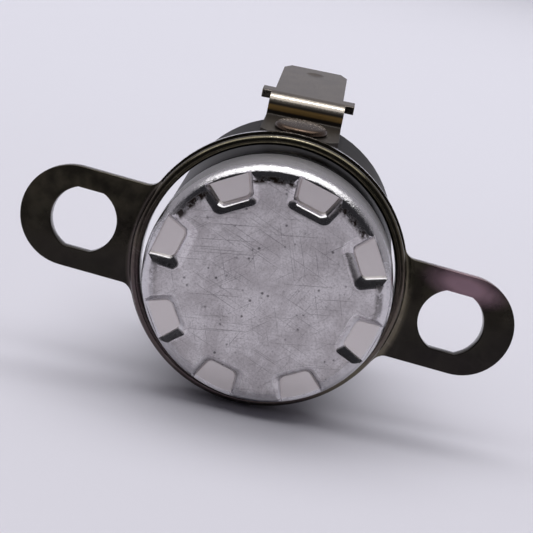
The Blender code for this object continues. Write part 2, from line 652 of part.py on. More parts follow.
def build_bracket(material):
    """Loose bracket: drawn collar, thin plate rim, two ears with flatted holes."""
    lip_r = COLLAR_WALL / 2
    middle_r = COLLAR_BORE_R + lip_r
    lip = arc(middle_r, 0.0, lip_r, math.pi, math.tau, 2 * ARC_STEPS)
    back_curve = arc(COLLAR_BORE_R + COLLAR_BACK_R, PLATE_BACK - COLLAR_BACK_R,
                     COLLAR_BACK_R, math.pi / 2, math.pi, ARC_STEPS)
    profile = lip + [(COLLAR_OUTER_R, PLATE_FRONT), (PLATE_R, PLATE_FRONT),
                     (PLATE_R, PLATE_BACK)] + back_curve
    bracket = make_object("mounting_bracket", lathe(profile, ROUND_STEPS), material)
    fillet_top = PLATE_FRONT - EAR_FILLET
    curve = arc(COLLAR_OUTER_R + EAR_FILLET, fillet_top, EAR_FILLET,
                math.pi, math.pi / 2, ARC_STEPS)
    inside_r = COLLAR_OUTER_R - COLLAR_WALL / 2
    below = PLATE_FRONT + PLATE_THICK / 2
    fillet_profile = [(inside_r, fillet_top)] + curve
    fillet_profile += [(COLLAR_OUTER_R + EAR_FILLET, below), (inside_r, below)]
    for side, name in ((-1, "left"), (1, "right")):
        ear = make_tool(name + "_ear", prism(ear_outline(side), PLATE_FRONT, PLATE_BACK, "Y"))
        combine(bracket, ear, "UNION")
        for above, place in ((1, "top"), (-1, "bottom")):
            web = prism(root_outline(side, above), PLATE_FRONT, PLATE_BACK, "Y")
            combine(bracket, make_tool(name + "_root_" + place, web), "UNION")
        fillet = make_tool(name + "_fillet", lathe(fillet_profile, ROUND_STEPS))
        keep = prism(ear_outline(side), fillet_top - EAR_FILLET, PLATE_BACK, "Y")
        combine(fillet, make_tool(name + "_fillet_keep", keep), "INTERSECT")
        combine(bracket, fillet, "UNION")
        hole = [(side * EAR_PITCH / 2 + x, z)
                for x, z in flatted_disc(HOLE_R, HOLE_HALF_HEIGHT, 3 * ARC_STEPS)]
        drill = prism(hole, PLATE_FRONT - PLATE_THICK, PLATE_BACK + PLATE_THICK, "Y")
        combine(bracket, make_tool(name + "_hole_cut", drill), "DIFFERENCE")
    place_bracket(bracket)
    return bracket


def place_bracket(bracket):
    """Set the bracket and its tools where it hangs, tilted on the body."""
    used = [modifier.object for modifier in bracket.modifiers]
    for tool in list(used):
        used += [modifier.object for modifier in tool.modifiers]
    for item in [bracket] + used:
        item.rotation_mode = "YXZ"
        item.rotation_euler = (-BRACKET_TILT, BRACKET_TURN, BRACKET_YAW)
        item.location = BRACKET_CENTRE


def main():
    """Build every piece of the thermostat."""
    clear_scene()
    aluminium = finish("aluminium", (0.42, 0.41, 0.42), 0.38, 1.0)
    bimetal = finish("bimetal", (0.45, 0.44, 0.40), 0.35, 1.0)
    ceramic = finish("ceramic", (0.80, 0.78, 0.72), 0.55, 0.0)
    phenolic = finish("phenolic", (0.030, 0.029, 0.031), 0.35, 0.0)
    nickel = finish("nickel_plate", (0.50, 0.48, 0.45), 0.30, 1.0)
    copper = finish("copper_alloy", (0.72, 0.42, 0.20), 0.30, 1.0)
    silver = finish("silver", (0.85, 0.84, 0.82), 0.25, 1.0)
    blued = finish("blackened_steel", (0.030, 0.027, 0.024), 0.40, 0.6)

    build_cap(aluminium)
    build_disc(bimetal)
    build_guide(ceramic)
    build_pin(ceramic)
    build_housing(phenolic)
    build_bracket(blued)
    strip_face = {"upper": SPRING_THICK, "lower": FIXED_STRIP_THICK}
    for side, name in ((1, "upper"), (-1, "lower")):
        build_terminal(name + "_terminal", side, nickel)
        inner_face = INNER_SEAT - strip_face[name]
        build_rivet(name + "_terminal_rivet", side, inner_face, nickel)
    build_inner_strip("contact_spring", 1, SPRING_PLANE, SPRING_THICK,
                      spring_plan(), copper)
    build_inner_strip("fixed_contact_strip", -1, FIXED_STRIP_PLANE, FIXED_STRIP_THICK,
                      fixed_strip_plan(), copper)
    build_contact("moving_contact", SPRING_PLANE, -1, SPRING_THICK, silver)
    build_contact("fixed_contact", FIXED_STRIP_PLANE + FIXED_STRIP_THICK, 1,
                  FIXED_STRIP_THICK, silver)


main()
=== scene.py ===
"""Looks of a snap-action disc thermostat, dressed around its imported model.

Lengths are in metres and written as millimetres times MM.  The sensing face
looks along -Y with its centre at the origin, the body runs back along +Y and
the two tab terminals lie at +Z and -Z.
"""

import json
import logging
import math
from dataclasses import dataclass
from enum import Enum, IntEnum

import bmesh
import bpy
from mathutils import Matrix, Vector

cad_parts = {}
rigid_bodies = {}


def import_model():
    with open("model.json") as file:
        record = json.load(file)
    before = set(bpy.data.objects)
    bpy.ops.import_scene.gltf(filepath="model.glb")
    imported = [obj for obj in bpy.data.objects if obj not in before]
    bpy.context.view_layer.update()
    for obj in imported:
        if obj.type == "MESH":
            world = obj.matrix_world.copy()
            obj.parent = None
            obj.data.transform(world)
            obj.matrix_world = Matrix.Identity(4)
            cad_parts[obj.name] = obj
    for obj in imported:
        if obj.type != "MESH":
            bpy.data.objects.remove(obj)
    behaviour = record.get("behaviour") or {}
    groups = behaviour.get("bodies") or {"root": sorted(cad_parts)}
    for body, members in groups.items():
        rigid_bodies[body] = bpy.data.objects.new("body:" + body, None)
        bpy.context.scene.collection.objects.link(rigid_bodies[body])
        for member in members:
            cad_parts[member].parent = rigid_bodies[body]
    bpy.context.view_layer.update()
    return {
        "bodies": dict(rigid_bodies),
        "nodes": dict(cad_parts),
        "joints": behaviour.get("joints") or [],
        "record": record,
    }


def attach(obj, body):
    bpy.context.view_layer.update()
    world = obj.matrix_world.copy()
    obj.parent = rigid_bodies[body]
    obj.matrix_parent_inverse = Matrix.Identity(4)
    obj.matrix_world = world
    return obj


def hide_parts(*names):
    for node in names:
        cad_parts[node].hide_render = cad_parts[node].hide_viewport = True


MM = 0.001
ORIGIN = (0.0, 0.0, 0.0)
SAME_CORNER = 1e-7
LEVEL = 0.001 * MM
ALONG_Y = 0.99999
ROUND_STEPS = 256
SHARP_STAMPING = 30.0
SHARP_TURNING = 35.0
PHOTO_SIDE = 533

# Properties that the shader nodes are set to.
SMOOTH = {"interpolation_type": "SMOOTHSTEP"}
TIMES = {"operation": "MULTIPLY"}
TIMES_PLUS = {"operation": "MULTIPLY_ADD"}
LARGER = {"operation": "MAXIMUM"}
LENGTH = {"operation": "LENGTH"}

Colour = tuple[float, float, float, float]
Piece = bpy.types.Object
Point = tuple[float, float]
Socket = bpy.types.NodeSocket
Tree = bpy.types.NodeTree

log = logging.getLogger("thermostat")


def linear(code: str) -> Colour:
    """Turn an sRGB hex value into a linear colour.

    Args:
        code: six hex digits after a hash mark.

    Returns:
        Red, green, blue and an alpha of 1.
    """
    channels = []
    for start in (1, 3, 5):
        value = int(code[start:start + 2], 16) / 255
        if value <= 0.04045:
            channels.append(value / 12.92)
        else:
            channels.append(((value + 0.055) / 1.055) ** 2.4)
    return (*channels, 1.0)


def feed(tree: Tree, node: bpy.types.Node, inputs: dict) -> None:
    """Link or set a node's inputs.

    Args:
        tree: the node's tree.
        node: the node.
        inputs: an output socket or a value for each input name or number.
    """
    for name, value in inputs.items():
        if isinstance(value, Socket):
            tree.links.new(value, node.inputs[name])
        else:
            node.inputs[name].default_value = value


def add_node(tree: Tree, kind: str, settings: dict, inputs: dict | tuple,
             output: int | str = 0) -> Socket | None:
    """Add a shader node with its settings and links.

    Args:
        tree: the tree that gets the node.
        kind: the node's type after "ShaderNode", such as "Math".
        settings: the node's own properties, such as its operation.
        inputs: sockets or values by input name or number, or in order.
        output: name or number of the wanted output.

    Returns:
        The wanted output, or None from a node that has no outputs.
    """
    node = tree.nodes.new("ShaderNode" + kind)
    for name, value in settings.items():
        setattr(node, name, value)
    feed(tree, node, dict(enumerate(inputs)) if isinstance(inputs, tuple) else inputs)
    return node.outputs[output] if len(node.outputs) else None


def zone(tree: Tree, *edges: tuple) -> Socket:
    """Make a mask that is full where all its soft edges are passed.

    Args:
        tree: the node tree.
        edges: for each, the socket it reads and the values where it starts and
            ends, then the two numbers it goes between if they aren't 0 and 1.

    Returns:
        The product of all edges.
    """
    mask = None
    for edge in edges:
        step = add_node(tree, "MapRange", SMOOTH, edge)
        mask = step if mask is None else add_node(tree, "Math", TIMES, (mask, step))
    return mask


def lumps(size: float, detail: float = 3.0, rough: float = 0.5) -> dict:
    """Inputs of a noise whose lumps are size metres across."""
    return {"Scale": 1.0 / size, "Detail": detail, "Roughness": rough}


def mottle(tree: Tree, place: Socket, grain: dict, *edge: float) -> Socket:
    """Make soft patches.

    Args:
        tree: the node tree.
        place: the coordinates.
        grain: the noise's inputs, from lumps.
        edge: as in zone, without the socket.

    Returns:
        A mask that is full on the patches.
    """
    return zone(tree, (add_node(tree, "TexNoise", {}, {"Vector": place, **grain}), *edge))


def streaks(tree: Tree, place: Socket, turn: tuple, stretch: tuple, *edge: float) -> Socket:
    """Make thin marks: noise stretched along one way, cut to its peaks.

    Args:
        tree: the node tree.
        place: the coordinates.
        turn: rotation of the marks in degrees about X, Y and Z.
        stretch: length of a lump along each turned axis, in metres.
        edge: noise values where a mark starts and where it is full.

    Returns:
        A mask that is full on the marks.
    """
    turned_place = add_node(tree, "Mapping", {"vector_type": "TEXTURE"},
                            {"Vector": place, "Scale": stretch,
                             "Rotation": tuple(math.radians(angle) for angle in turn)})
    return mottle(tree, turned_place, lumps(1.0, 1.0), *edge)


def around_axis(tree: Tree, place: Socket) -> tuple[Socket, Socket, Socket, Socket]:
    """Split a place into what lies across and along the Y axis.

    Args:
        tree: the node tree.
        place: the coordinates.

    Returns:
        The place without its depth, the distance from the axis, the depth along
        Y and the height along Z.
    """
    flat = add_node(tree, "VectorMath", TIMES, (place, (1.0, 0.0, 1.0)))
    radius = add_node(tree, "VectorMath", LENGTH, (flat,), "Value")
    depth, height = (add_node(tree, "SeparateXYZ", {}, (place,), axis) for axis in "YZ")
    return flat, radius, depth, height


class Blend(Enum):
    """What a Mix node mixes: data type, its two inputs and its output."""

    COLOUR = ("RGBA", 6, 7, 2)
    NUMBER = ("FLOAT", 2, 3, 0)


def layered(tree: Tree, blend: Blend, under: str | float | Socket, *layers: tuple) -> Socket:
    """Lay colours or numbers over one another.

    Args:
        tree: the node tree.
        blend: what is laid.
        under: the lowest layer, as a hex colour, a number or a socket.
        layers: for each, its mask, its share and its colour or number.

    Returns:
        What is seen from above.
    """
    data_type, lower, upper, output = blend.value
    for mask, share, over in layers:
        amount = add_node(tree, "Math", TIMES, (mask, share))
        pair = {place: linear(value) if isinstance(value, str) else value
                for place, value in ((lower, under), (upper, over))}
        under = add_node(tree, "Mix", {"data_type": data_type}, {0: amount, **pair}, output)
    return under


@dataclass(frozen=True)
class Finish:
    """A plain finish: fine grain in its gloss and clouds in its colour."""

    name: str
    colour: str
    metallic: float
    roughness: float
    shade: float = 0.86

    def material(self) -> bpy.types.Material:
        """Build the finish's material.

        Returns:
            The material, with its pattern on the object's own coordinates.
        """
        made = bpy.data.materials.new(self.name)
        made.use_nodes = True
        tree = made.node_tree
        place = add_node(tree, "TexCoord", {}, {}, "Object")
        plain = {"Base Color": linear(self.colour), "Metallic": self.metallic,
                 "Roughness": self.roughness}
        feed(tree, tree.nodes["Principled BSDF"], plain | self.paint(tree, place))
        return made

    def paint(self, tree: Tree, place: Socket) -> dict:
        """Draw the finish's pattern.

        Args:
            tree: the material's tree.
            place: the object's coordinates.

        Returns:
            What the shader's inputs get.
        """
        gloss = mottle(tree, place, lumps(0.15 * MM), 0.3, 0.7,
                       self.roughness - 0.04, self.roughness + 0.06)
        colour = linear(self.colour)
        dark = tuple(self.shade * part for part in colour[:3]) + (1.0,)
        clouds = mottle(tree, place, lumps(1.2 * MM), 0.35, 0.65)
        return {"Roughness": gloss,
                "Base Color": layered(tree, Blend.COLOUR, dark, (clouds, 1.0, colour))}


@dataclass(frozen=True)
class DrawnAluminium(Finish):
    """Soft aluminium sheet, deep drawn.

    Handling leaves the face dull and cloudy with hairlines and pits.  The punch
    leaves clean pale floors in the dents and polishes their walls and the rim.
    A dark brown band at the rim's inner edge is partly residue and partly painted
    dark reflection, painted strongest at the top.  Real hairlines are about
    0.01 mm wide and are drawn about five times as wide, to show at all.
    """

    floor_colour: str = "#d6d0ce"
    bright_colour: str = "#cfcdd0"
    # Partly residue, partly painted dark reflection: the band at the rim's inner edge.
    stain_and_shade_colour: str = "#2a211c"
    cloud_colour: str = "#c0bbbc"
    grain_colour: str = "#8e898a"
    smudge_colour: str = "#7d797b"
    hair_colour: str = "#615e62"
    pit_colour: str = "#3c393e"
    rim_edge: tuple = (6.66 * MM, 6.95 * MM)
    dents_end: tuple = (7.20 * MM, 7.34 * MM, 1.0, 0.0)
    floor_edge: tuple = (0.32 * MM, 0.38 * MM)
    wall_edge: tuple = (0.002 * MM, 0.014 * MM)
    deep_edge: tuple = (0.10 * MM, 0.25 * MM)
    stain_and_shade_start: tuple = (6.50 * MM, 6.78 * MM)
    stain_and_shade_end: tuple = (7.00 * MM, 7.16 * MM, 1.0, 0.0)
    # Painted darker towards the top, where the rim mirrors the dark room.
    shade_by_height: tuple = (-3.5 * MM, 5.0 * MM, 0.20, 1.0)
    pit_spacing: float = 0.50 * MM
    skirt_gloss: tuple = (0.75 * MM, 1.15 * MM, 0.22, 0.36)
    face_gloss: tuple = (0.2, 0.8, 0.36, 0.48)
    floor_gloss: tuple = (0.3, 0.7, 0.30, 0.42)
    wall_gloss: float = 0.14
    stain_and_shade_gloss: float = 0.50
    # Angle in degrees, length and width in mm, and noise value of each scratch.
    scratches: tuple = ((24, 5.0, 0.045, 0.665), (-38, 3.5, 0.04, 0.68),
                        (72, 4.5, 0.05, 0.69), (-8, 6.5, 0.06, 0.675),
                        (118, 2.5, 0.04, 0.70))

    def paint(self, tree: Tree, place: Socket) -> dict:
        """Draw the zones by radius and depth, then scratches, pits and a rim band
        of residue and painted dark reflection.

        Args:
            tree: the material's tree.
            place: the object's coordinates.

        Returns:
            What the shader's inputs get.
        """
        flat, radius, depth, height = around_axis(tree, place)
        fine = add_node(tree, "TexNoise", {}, {"Vector": place, **lumps(0.13 * MM, 4.0, 0.7)})
        rim = zone(tree, (radius, *self.rim_edge))
        floor = zone(tree, (depth, *self.floor_edge), (radius, *self.dents_end))
        wall = zone(tree, (depth, *self.wall_edge), (radius, *self.dents_end))
        deep = zone(tree, (depth, *self.deep_edge))
        hairs = self.hairlines(tree, flat)
        cells = add_node(tree, "TexVoronoi", {}, {"Vector": flat, "Randomness": 1.0,
                                                  "Scale": 1.0 / self.pit_spacing}, "Distance")
        pitted = add_node(tree, "TexNoise", {}, {"Vector": flat, **lumps(1.3 * MM)})
        pits = zone(tree, (cells, 0.10, 0.24, 1.0, 0.0), (pitted, 0.48, 0.60))
        broken = add_node(tree, "TexNoise", {}, {"Vector": place, **lumps(0.6 * MM, 5.0, 0.7)})
        # Rim band: partly brown residue, partly painted dark reflection, painted strongest at
        # the top.
        stain_and_shade = zone(tree, (radius, *self.stain_and_shade_start), (radius, *self.stain_and_shade_end),
                     (height, *self.shade_by_height), (broken, 0.36, 0.56),
                     (depth, *self.deep_edge, 1.0, 0.0))
        clouds = mottle(tree, place, lumps(2.0 * MM, 7.0, 0.65), 0.36, 0.64)
        smudges = mottle(tree, place, lumps(0.7 * MM, 5.0, 0.65), 0.58, 0.72)
        tone = layered(tree, Blend.COLOUR, self.cloud_colour, (clouds, 1.0, self.colour),
                       (zone(tree, (fine, 0.42, 0.68)), 0.42, self.grain_colour),
                       (smudges, 0.30, self.smudge_colour), (hairs, 0.62, self.hair_colour),
                       (pits, 0.75, self.pit_colour), (rim, 0.5, self.bright_colour),
                       (deep, 0.7, self.bright_colour), (floor, 1.0, self.floor_colour),
                       (stain_and_shade, 1.0, self.stain_and_shade_colour))
        gloss = layered(tree, Blend.NUMBER, zone(tree, (fine, *self.face_gloss)),
                        (rim, 1.0, zone(tree, (depth, *self.skirt_gloss))),
                        (wall, 1.0, self.wall_gloss),
                        (floor, 1.0, zone(tree, (fine, *self.floor_gloss))),
                        (stain_and_shade, 1.0, self.stain_and_shade_gloss))

        relief = add_node(tree, "Math", TIMES, (pits, -1.0))
        relief = add_node(tree, "Math", TIMES_PLUS, (hairs, -0.5, relief))
        relief = add_node(tree, "Math", TIMES_PLUS, (fine, 0.6, relief))
        # The drawn rim is never a true circle: its waves tear the lamp's image.
        waves = add_node(tree, "TexNoise", {}, {"Vector": place, **lumps(0.42 * MM, 4.0, 0.65)})
        relief = layered(tree, Blend.NUMBER, relief,
                         (rim, 1.0, add_node(tree, "Math", TIMES, (waves, 6.5))),
                         (wall, 1.0, add_node(tree, "Math", TIMES, (waves, 0.78))))
        normal = add_node(tree, "Bump", {}, {"Height": relief, "Distance": 0.012 * MM,
                                             "Strength": 0.55})
        return {"Base Color": tone, "Roughness": gloss, "Normal": normal}

    def hairlines(self, tree: Tree, flat: Socket) -> Socket:
        """Draw handling scratches in a few directions.

        Args:
            tree: the material's tree.
            flat: the place without its depth.

        Returns:
            A mask that is full on the scratches.
        """
        total = 0.0
        for angle, length, width, low in self.scratches:
            marks = streaks(tree, flat, (0, angle, 0), (length * MM, MM, width * MM),
                            low, low + 0.05)
            total = add_node(tree, "Math", LARGER, (marks, total))
        return total


@dataclass(frozen=True)
class BlackenedSteel(Finish):
    """Sheet steel with a black conversion coat.

    To the eye it is a dark mirror whose sheen drifts between olive and plum.
    The ears are painted near black, darker than the collar of the same sheet, as
    painted shade.  A patchy olive painted sheen lies over them, strongest towards
    their tops, and a plum painted reflection lies above the right ear's hole.
    """

    olive: str = "#686250"
    plum: str = "#564a4b"
    rub_colour: str = "#aaa598"
    # Painted shade: the ears are painted near black, darker than the collar.
    ear_shade_colour: str = "#131110"
    # Painted sheen: a patchy dull olive layer on the ears, strongest towards their tops.
    olive_sheen_colour: str = "#5a5446"
    # Painted reflection: a plum patch above the right ear's hole.
    plum_reflection_colour: str = "#c9a4b3"
    ears_edge: tuple = (8.75 * MM, 9.15 * MM, 0.0, 0.92)
    # The painted sheen grows towards the ears' tops.
    sheen_height: tuple = (-3.0 * MM, 3.6 * MM, 0.10, 0.80)
    plum_reflection_at: tuple = (12.2 * MM, 4.25 * MM, 1.45 * MM)
    plum_reflection_turn: float = 9.0
    plum_reflection_size: tuple = (2.9 * MM, 4.0 * MM, 1.15 * MM)

    def paint(self, tree: Tree, place: Socket) -> dict:
        """Draw two sheens, fine mottling, rubs and the ears' painted shade, sheen and
        reflection.

        Args:
            tree: the material's tree.
            place: the object's coordinates.

        Returns:
            What the shader's inputs get.
        """
        _, radius, _, height = around_axis(tree, place)
        # Painted shade on the ears.
        ears = zone(tree, (radius, *self.ears_edge))
        patches = add_node(tree, "TexNoise", {}, {"Vector": place, **lumps(1.8 * MM, 4.0)})
        # Painted olive sheen on the ears, patchy and strongest towards their tops.
        olive_sheen = zone(tree, (radius, *self.ears_edge), (height, *self.sheen_height),
                    (patches, 0.35, 0.65, 0.45, 1.0))
        # Painted plum reflection above the right ear's hole.
        plum_reflection = self.plum_reflection(tree, place)
        rubs = streaks(tree, place, (0, 31, 8), (3.0 * MM, 1.0 * MM, 0.06 * MM), 0.68, 0.74)
        tone = layered(tree, Blend.COLOUR, self.olive,
                       (mottle(tree, place, lumps(6.0 * MM, 2.0), 0.38, 0.62), 1.0, self.plum),
                       (mottle(tree, place, lumps(0.35 * MM, 4.0, 0.6), 0.3, 0.75), 0.5,
                        self.colour),
                       (rubs, 0.35, self.rub_colour), (ears, 1.0, self.ear_shade_colour),
                       (olive_sheen, 1.0, self.olive_sheen_colour), (plum_reflection, 1.0, self.plum_reflection_colour))
        # Where sheen and reflection are painted, the metal is made dull so that the lamps light
        # the paint.
        dull = add_node(tree, "Math", LARGER, (plum_reflection, olive_sheen))
        grain = add_node(tree, "TexNoise", {}, {"Vector": place, **lumps(0.12 * MM)})
        return {"Base Color": tone, "Coat Weight": 0.15, "Coat Roughness": 0.10,
                "Specular IOR Level": 0.2,
                "Metallic": layered(tree, Blend.NUMBER, self.metallic, (dull, 1.0, 0.0)),
                "Roughness": mottle(tree, place, lumps(0.5 * MM), 0.3, 0.7,
                                    self.roughness - 0.03, self.roughness + 0.07),
                "Normal": add_node(tree, "Bump", {}, {"Height": grain, "Strength": 0.35,
                                                      "Distance": 0.004 * MM})}

    def plum_reflection(self, tree: Tree, place: Socket) -> Socket:
        """Draw the painted plum reflection above the right ear's hole.

        Args:
            tree: the material's tree.
            place: the object's coordinates.

        Returns:
            A mask that is fullest in the patch's middle.
        """
        around = add_node(tree, "Mapping", {"vector_type": "TEXTURE"},
                          {"Vector": place, "Location": self.plum_reflection_at, "Scale": self.plum_reflection_size,
                           "Rotation": (0.0, math.radians(self.plum_reflection_turn), 0.0)})
        away = add_node(tree, "VectorMath", LENGTH, (around,), "Value")
        return zone(tree, (away, 0.25, 1.15, 0.75, 0.0))


@dataclass(frozen=True)
class MouldedPhenolic(Finish):
    """Compression-moulded phenolic with a mineral filler.

    It is near black and softly glossy, with faint flow marks around the body and
    a speckle.  The filler's grains are about 0.03 mm and drawn at 0.10 mm.
    """

    flow_colour: str = "#201f21"
    speck_colour: str = "#3a3836"

    def paint(self, tree: Tree, place: Socket) -> dict:
        """Draw the flow marks and the filler's speckle.

        Args:
            tree: the material's tree.
            place: the object's coordinates.

        Returns:
            What the shader's inputs get.
        """
        flow = streaks(tree, place, (0, 0, 0), (4.0 * MM, 0.5 * MM, 4.0 * MM), 0.35, 0.7)
        specks = mottle(tree, place, lumps(0.10 * MM, 2.0), 0.55, 0.75)
        grain = add_node(tree, "TexNoise", {}, {"Vector": place, **lumps(0.18 * MM)})
        return {"Base Color": layered(tree, Blend.COLOUR, self.colour,
                                      (flow, 0.4, self.flow_colour),
                                      (specks, 0.35, self.speck_colour)),
                "Roughness": layered(tree, Blend.NUMBER, self.roughness,
                                     (flow, 1.0, self.roughness + 0.03)),
                "Specular IOR Level": 0.12,
                "Normal": add_node(tree, "Bump", {}, {"Height": grain, "Strength": 0.4,
                                                      "Distance": 0.006 * MM})}


@dataclass(frozen=True)
class PlatedStrip(Finish):
    """Bright nickel on rolled steel strip.

    It mirrors softly along fine rolling lines, drawn 0.05 mm wide where real
    ones are finer.  Over the riser and foot the plate is painted dark brown,
    partly tarnished and partly painted shade, with a golden band under the top
    bend that is a painted reflection.
    """

    line_colour: str = "#8f8b84"
    cloud_colour: str = "#a39a8c"
    # Painted reflection: the golden band under the top bend.
    gold_reflection_colour: str = "#96763f"
    # Partly tarnished plate, partly painted shade: the riser and foot painted near black.
    tarnish_and_shade_colour: str = "#1a140e"
    riser_low: tuple = (7.00 * MM, 7.30 * MM)
    riser_high: tuple = (8.52 * MM, 8.82 * MM, 1.0, 0.0)
    riser_front: tuple = (8.0 * MM, 8.2 * MM)
    riser_back: tuple = (14.8 * MM, 15.0 * MM, 1.0, 0.0)
    gold_low: tuple = (8.00 * MM, 8.16 * MM)
    gold_high: tuple = (8.34 * MM, 8.50 * MM, 1.0, 0.0)
    riser_metallic: float = 0.35
    riser_gloss: float = 0.36

    def paint(self, tree: Tree, place: Socket) -> dict:
        """Draw rolling lines, cloudy plate and the riser's tarnished brown,
        with its painted shade and painted reflection.

        Args:
            tree: the material's tree.
            place: the object's coordinates.

        Returns:
            What the shader's inputs get.
        """
        depth, height = around_axis(tree, place)[2:]
        away = add_node(tree, "Math", {"operation": "ABSOLUTE"}, (height,))
        # Riser and foot: partly tarnished, partly painted shade.
        riser = zone(tree, (away, *self.riser_low), (away, *self.riser_high),
                     (depth, *self.riser_front), (depth, *self.riser_back))
        # Painted reflection: a golden band under the top bend.
        gold_reflection = zone(tree, (away, *self.gold_low), (away, *self.gold_high))
        warm = layered(tree, Blend.COLOUR, self.tarnish_and_shade_colour, (gold_reflection, 1.0, self.gold_reflection_colour))
        lines = streaks(tree, place, (0, 0, 0), (0.05 * MM, 4.0 * MM, 0.05 * MM), 0.35, 0.7)
        clouds = mottle(tree, place, lumps(1.4 * MM, 4.0), 0.3, 0.7)
        return {"Base Color": layered(tree, Blend.COLOUR, self.colour,
                                      (lines, 0.35, self.line_colour),
                                      (clouds, 0.35, self.cloud_colour), (riser, 0.9, warm)),
                "Metallic": layered(tree, Blend.NUMBER, self.metallic,
                                    (riser, 1.0, self.riser_metallic)),
                "Roughness": layered(tree, Blend.NUMBER, self.roughness,
                                     (lines, 1.0, self.roughness + 0.10),
                                     (riser, 1.0, self.riser_gloss)),
                "Specular IOR Level": 0.15,
                "Normal": add_node(tree, "Bump", {}, {"Height": lines, "Strength": 0.3,
                                                      "Distance": 0.004 * MM})}


@dataclass(frozen=True)
class MattCard(Finish):
    """Pale matt uncoated card; painted light makes it a little lighter at the back."""

    far_light_colour: str = "#dcdbe5"
    near_to_far: tuple = (-0.05, 0.12)

    def paint(self, tree: Tree, place: Socket) -> dict:
        """Draw the painted light, from near to far.

        Args:
            tree: the material's tree.
            place: the object's coordinates.

        Returns:
            What the shader's inputs get.
        """
        depth = add_node(tree, "SeparateXYZ", {}, (place,), "Y")
        # Painted light: the card grows lighter towards the back.
        far = zone(tree, (depth, *self.near_to_far))
        return {"Base Color": layered(tree, Blend.COLOUR, self.colour,
                                      (far, 1.0, self.far_light_colour)),
                "Specular IOR Level": 0.1}


class Shop(Enum):
    """The finishes of the thermostat, named for the record's material slots."""

    ALUMINIUM_CAP = DrawnAluminium("drawn aluminium", "#dedadb", 1.0, 0.42)
    BLACKENED_STEEL = BlackenedSteel("blackened steel", "#4c4842", 1.0, 0.17)
    PHENOLIC = MouldedPhenolic("moulded phenolic", "#0e0d0e", 0.0, 0.40)
    NICKEL_PLATE = PlatedStrip("nickel plate", "#88817a", 1.0, 0.13)
    # The rivets' plate is brown and satin, painted darker still as painted
    # shade for the dark riser that its head mirrors.
    DULL_SHADED_NICKEL = Finish("dull nickel plate, painted dark", "#57493f", 1.0, 0.27)
    # Rolled nickel-iron strip: pale grey, satin.
    BIMETAL = Finish("rolled bimetal", "#b3b0a6", 1.0, 0.34)
    # Pressed and fired steatite: cream, matt.
    CERAMIC = Finish("steatite ceramic", "#e4e0d6", 0.0, 0.55)
    # Rolled beryllium copper: rose gold, half bright.
    COPPER_ALLOY = Finish("beryllium copper", "#d8a878", 1.0, 0.28)
    # Headed silver: white and bright.
    SILVER = Finish("fine silver", "#ebe9e6", 1.0, 0.24)

    @property
    def slot(self) -> str:
        """The record's slot name."""
        return "nickel_plate" if self is Shop.DULL_SHADED_NICKEL else self.name.lower()


def dress(piece: Piece, finish: Shop, materials: dict) -> None:
    """Give a piece one finish, whose material is made once.

    Args:
        piece: the object to dress.
        finish: its finish.
        materials: the materials made so far, by finish.
    """
    if finish not in materials:
        materials[finish] = finish.value.material()
    piece.data.materials.clear()
    piece.data.materials.append(materials[finish])


def smooth_shading(piece: Piece, angle: float) -> None:
    """Shade a piece smooth but for edges over an angle in degrees."""
    piece.data.shade_smooth()
    piece.data.set_sharp_from_angle(angle=math.radians(angle))


def flat_shading(piece: Piece) -> None:
    """Shade the faces that look straight along Y flat.

    Args:
        piece: the piece, shaded smooth before.
    """
    for face in piece.data.polygons:
        if abs(face.normal.y) > ALONG_Y:
            face.use_smooth = False


def finished_object(name: str, shape: bmesh.types.BMesh,
                    angle: float = SHARP_TURNING) -> Piece:
    """Turn a bmesh into a smooth-shaded object at the origin.

    Args:
        name: the object's name.
        shape: the bmesh, which is freed.
        angle: degrees over which an edge stays sharp.

    Returns:
        The linked object.
    """
    bmesh.ops.recalc_face_normals(shape, faces=shape.faces)
    mesh = bpy.data.meshes.new(name)
    shape.to_mesh(mesh)
    shape.free()
    piece = bpy.data.objects.new(name, mesh)
    smooth_shading(piece, angle)
    bpy.context.scene.collection.objects.link(piece)
    return piece


def apply_modifiers(piece: Piece) -> None:
    """Bake a piece's modifiers into its mesh.

    Args:
        piece: the piece, whose old mesh is removed.
    """
    graph = bpy.context.evaluated_depsgraph_get()
    baked = bpy.data.meshes.new_from_object(piece.evaluated_get(graph))
    old = piece.data
    piece.modifiers.clear()
    piece.data = baked
    bpy.data.meshes.remove(old)


class Join(Enum):
    """What a boolean does with its cutter."""

    TAKE_AWAY = "DIFFERENCE"
    ADD = "UNION"
    KEEP_COMMON = "INTERSECT"


def cut(piece: Piece, cutter: Piece, join: Join = Join.TAKE_AWAY) -> None:
    """Run one exact boolean and remove the cutter.

    Args:
        piece: the piece that is changed.
        cutter: the other solid.
        join: what is done with it.
    """
    modifier = piece.modifiers.new("cut", "BOOLEAN")
    modifier.operation = join.value
    modifier.solver = "EXACT"
    modifier.object = cutter
    apply_modifiers(piece)
    bpy.data.objects.remove(cutter, do_unlink=True)


def soften(piece: Piece, width: float, segments: int = 3, angle: float = 38.0) -> None:
    """Round a piece's sharp edges and let its flat faces rule the shading.

    Args:
        piece: the piece, at the origin.
        width: how far an edge is rounded, in metres.
        segments: faces across a rounded edge.
        angle: degrees over which an edge is rounded.
    """
    modifier = piece.modifiers.new("soften", "BEVEL")
    modifier.width = width
    modifier.segments = segments
    modifier.limit_method = "ANGLE"
    modifier.angle_limit = math.radians(angle)
    modifier = piece.modifiers.new("even shading", "WEIGHTED_NORMAL")
    modifier.mode = "FACE_AREA"
    modifier.weight = 50
    modifier.keep_sharp = True
    apply_modifiers(piece)


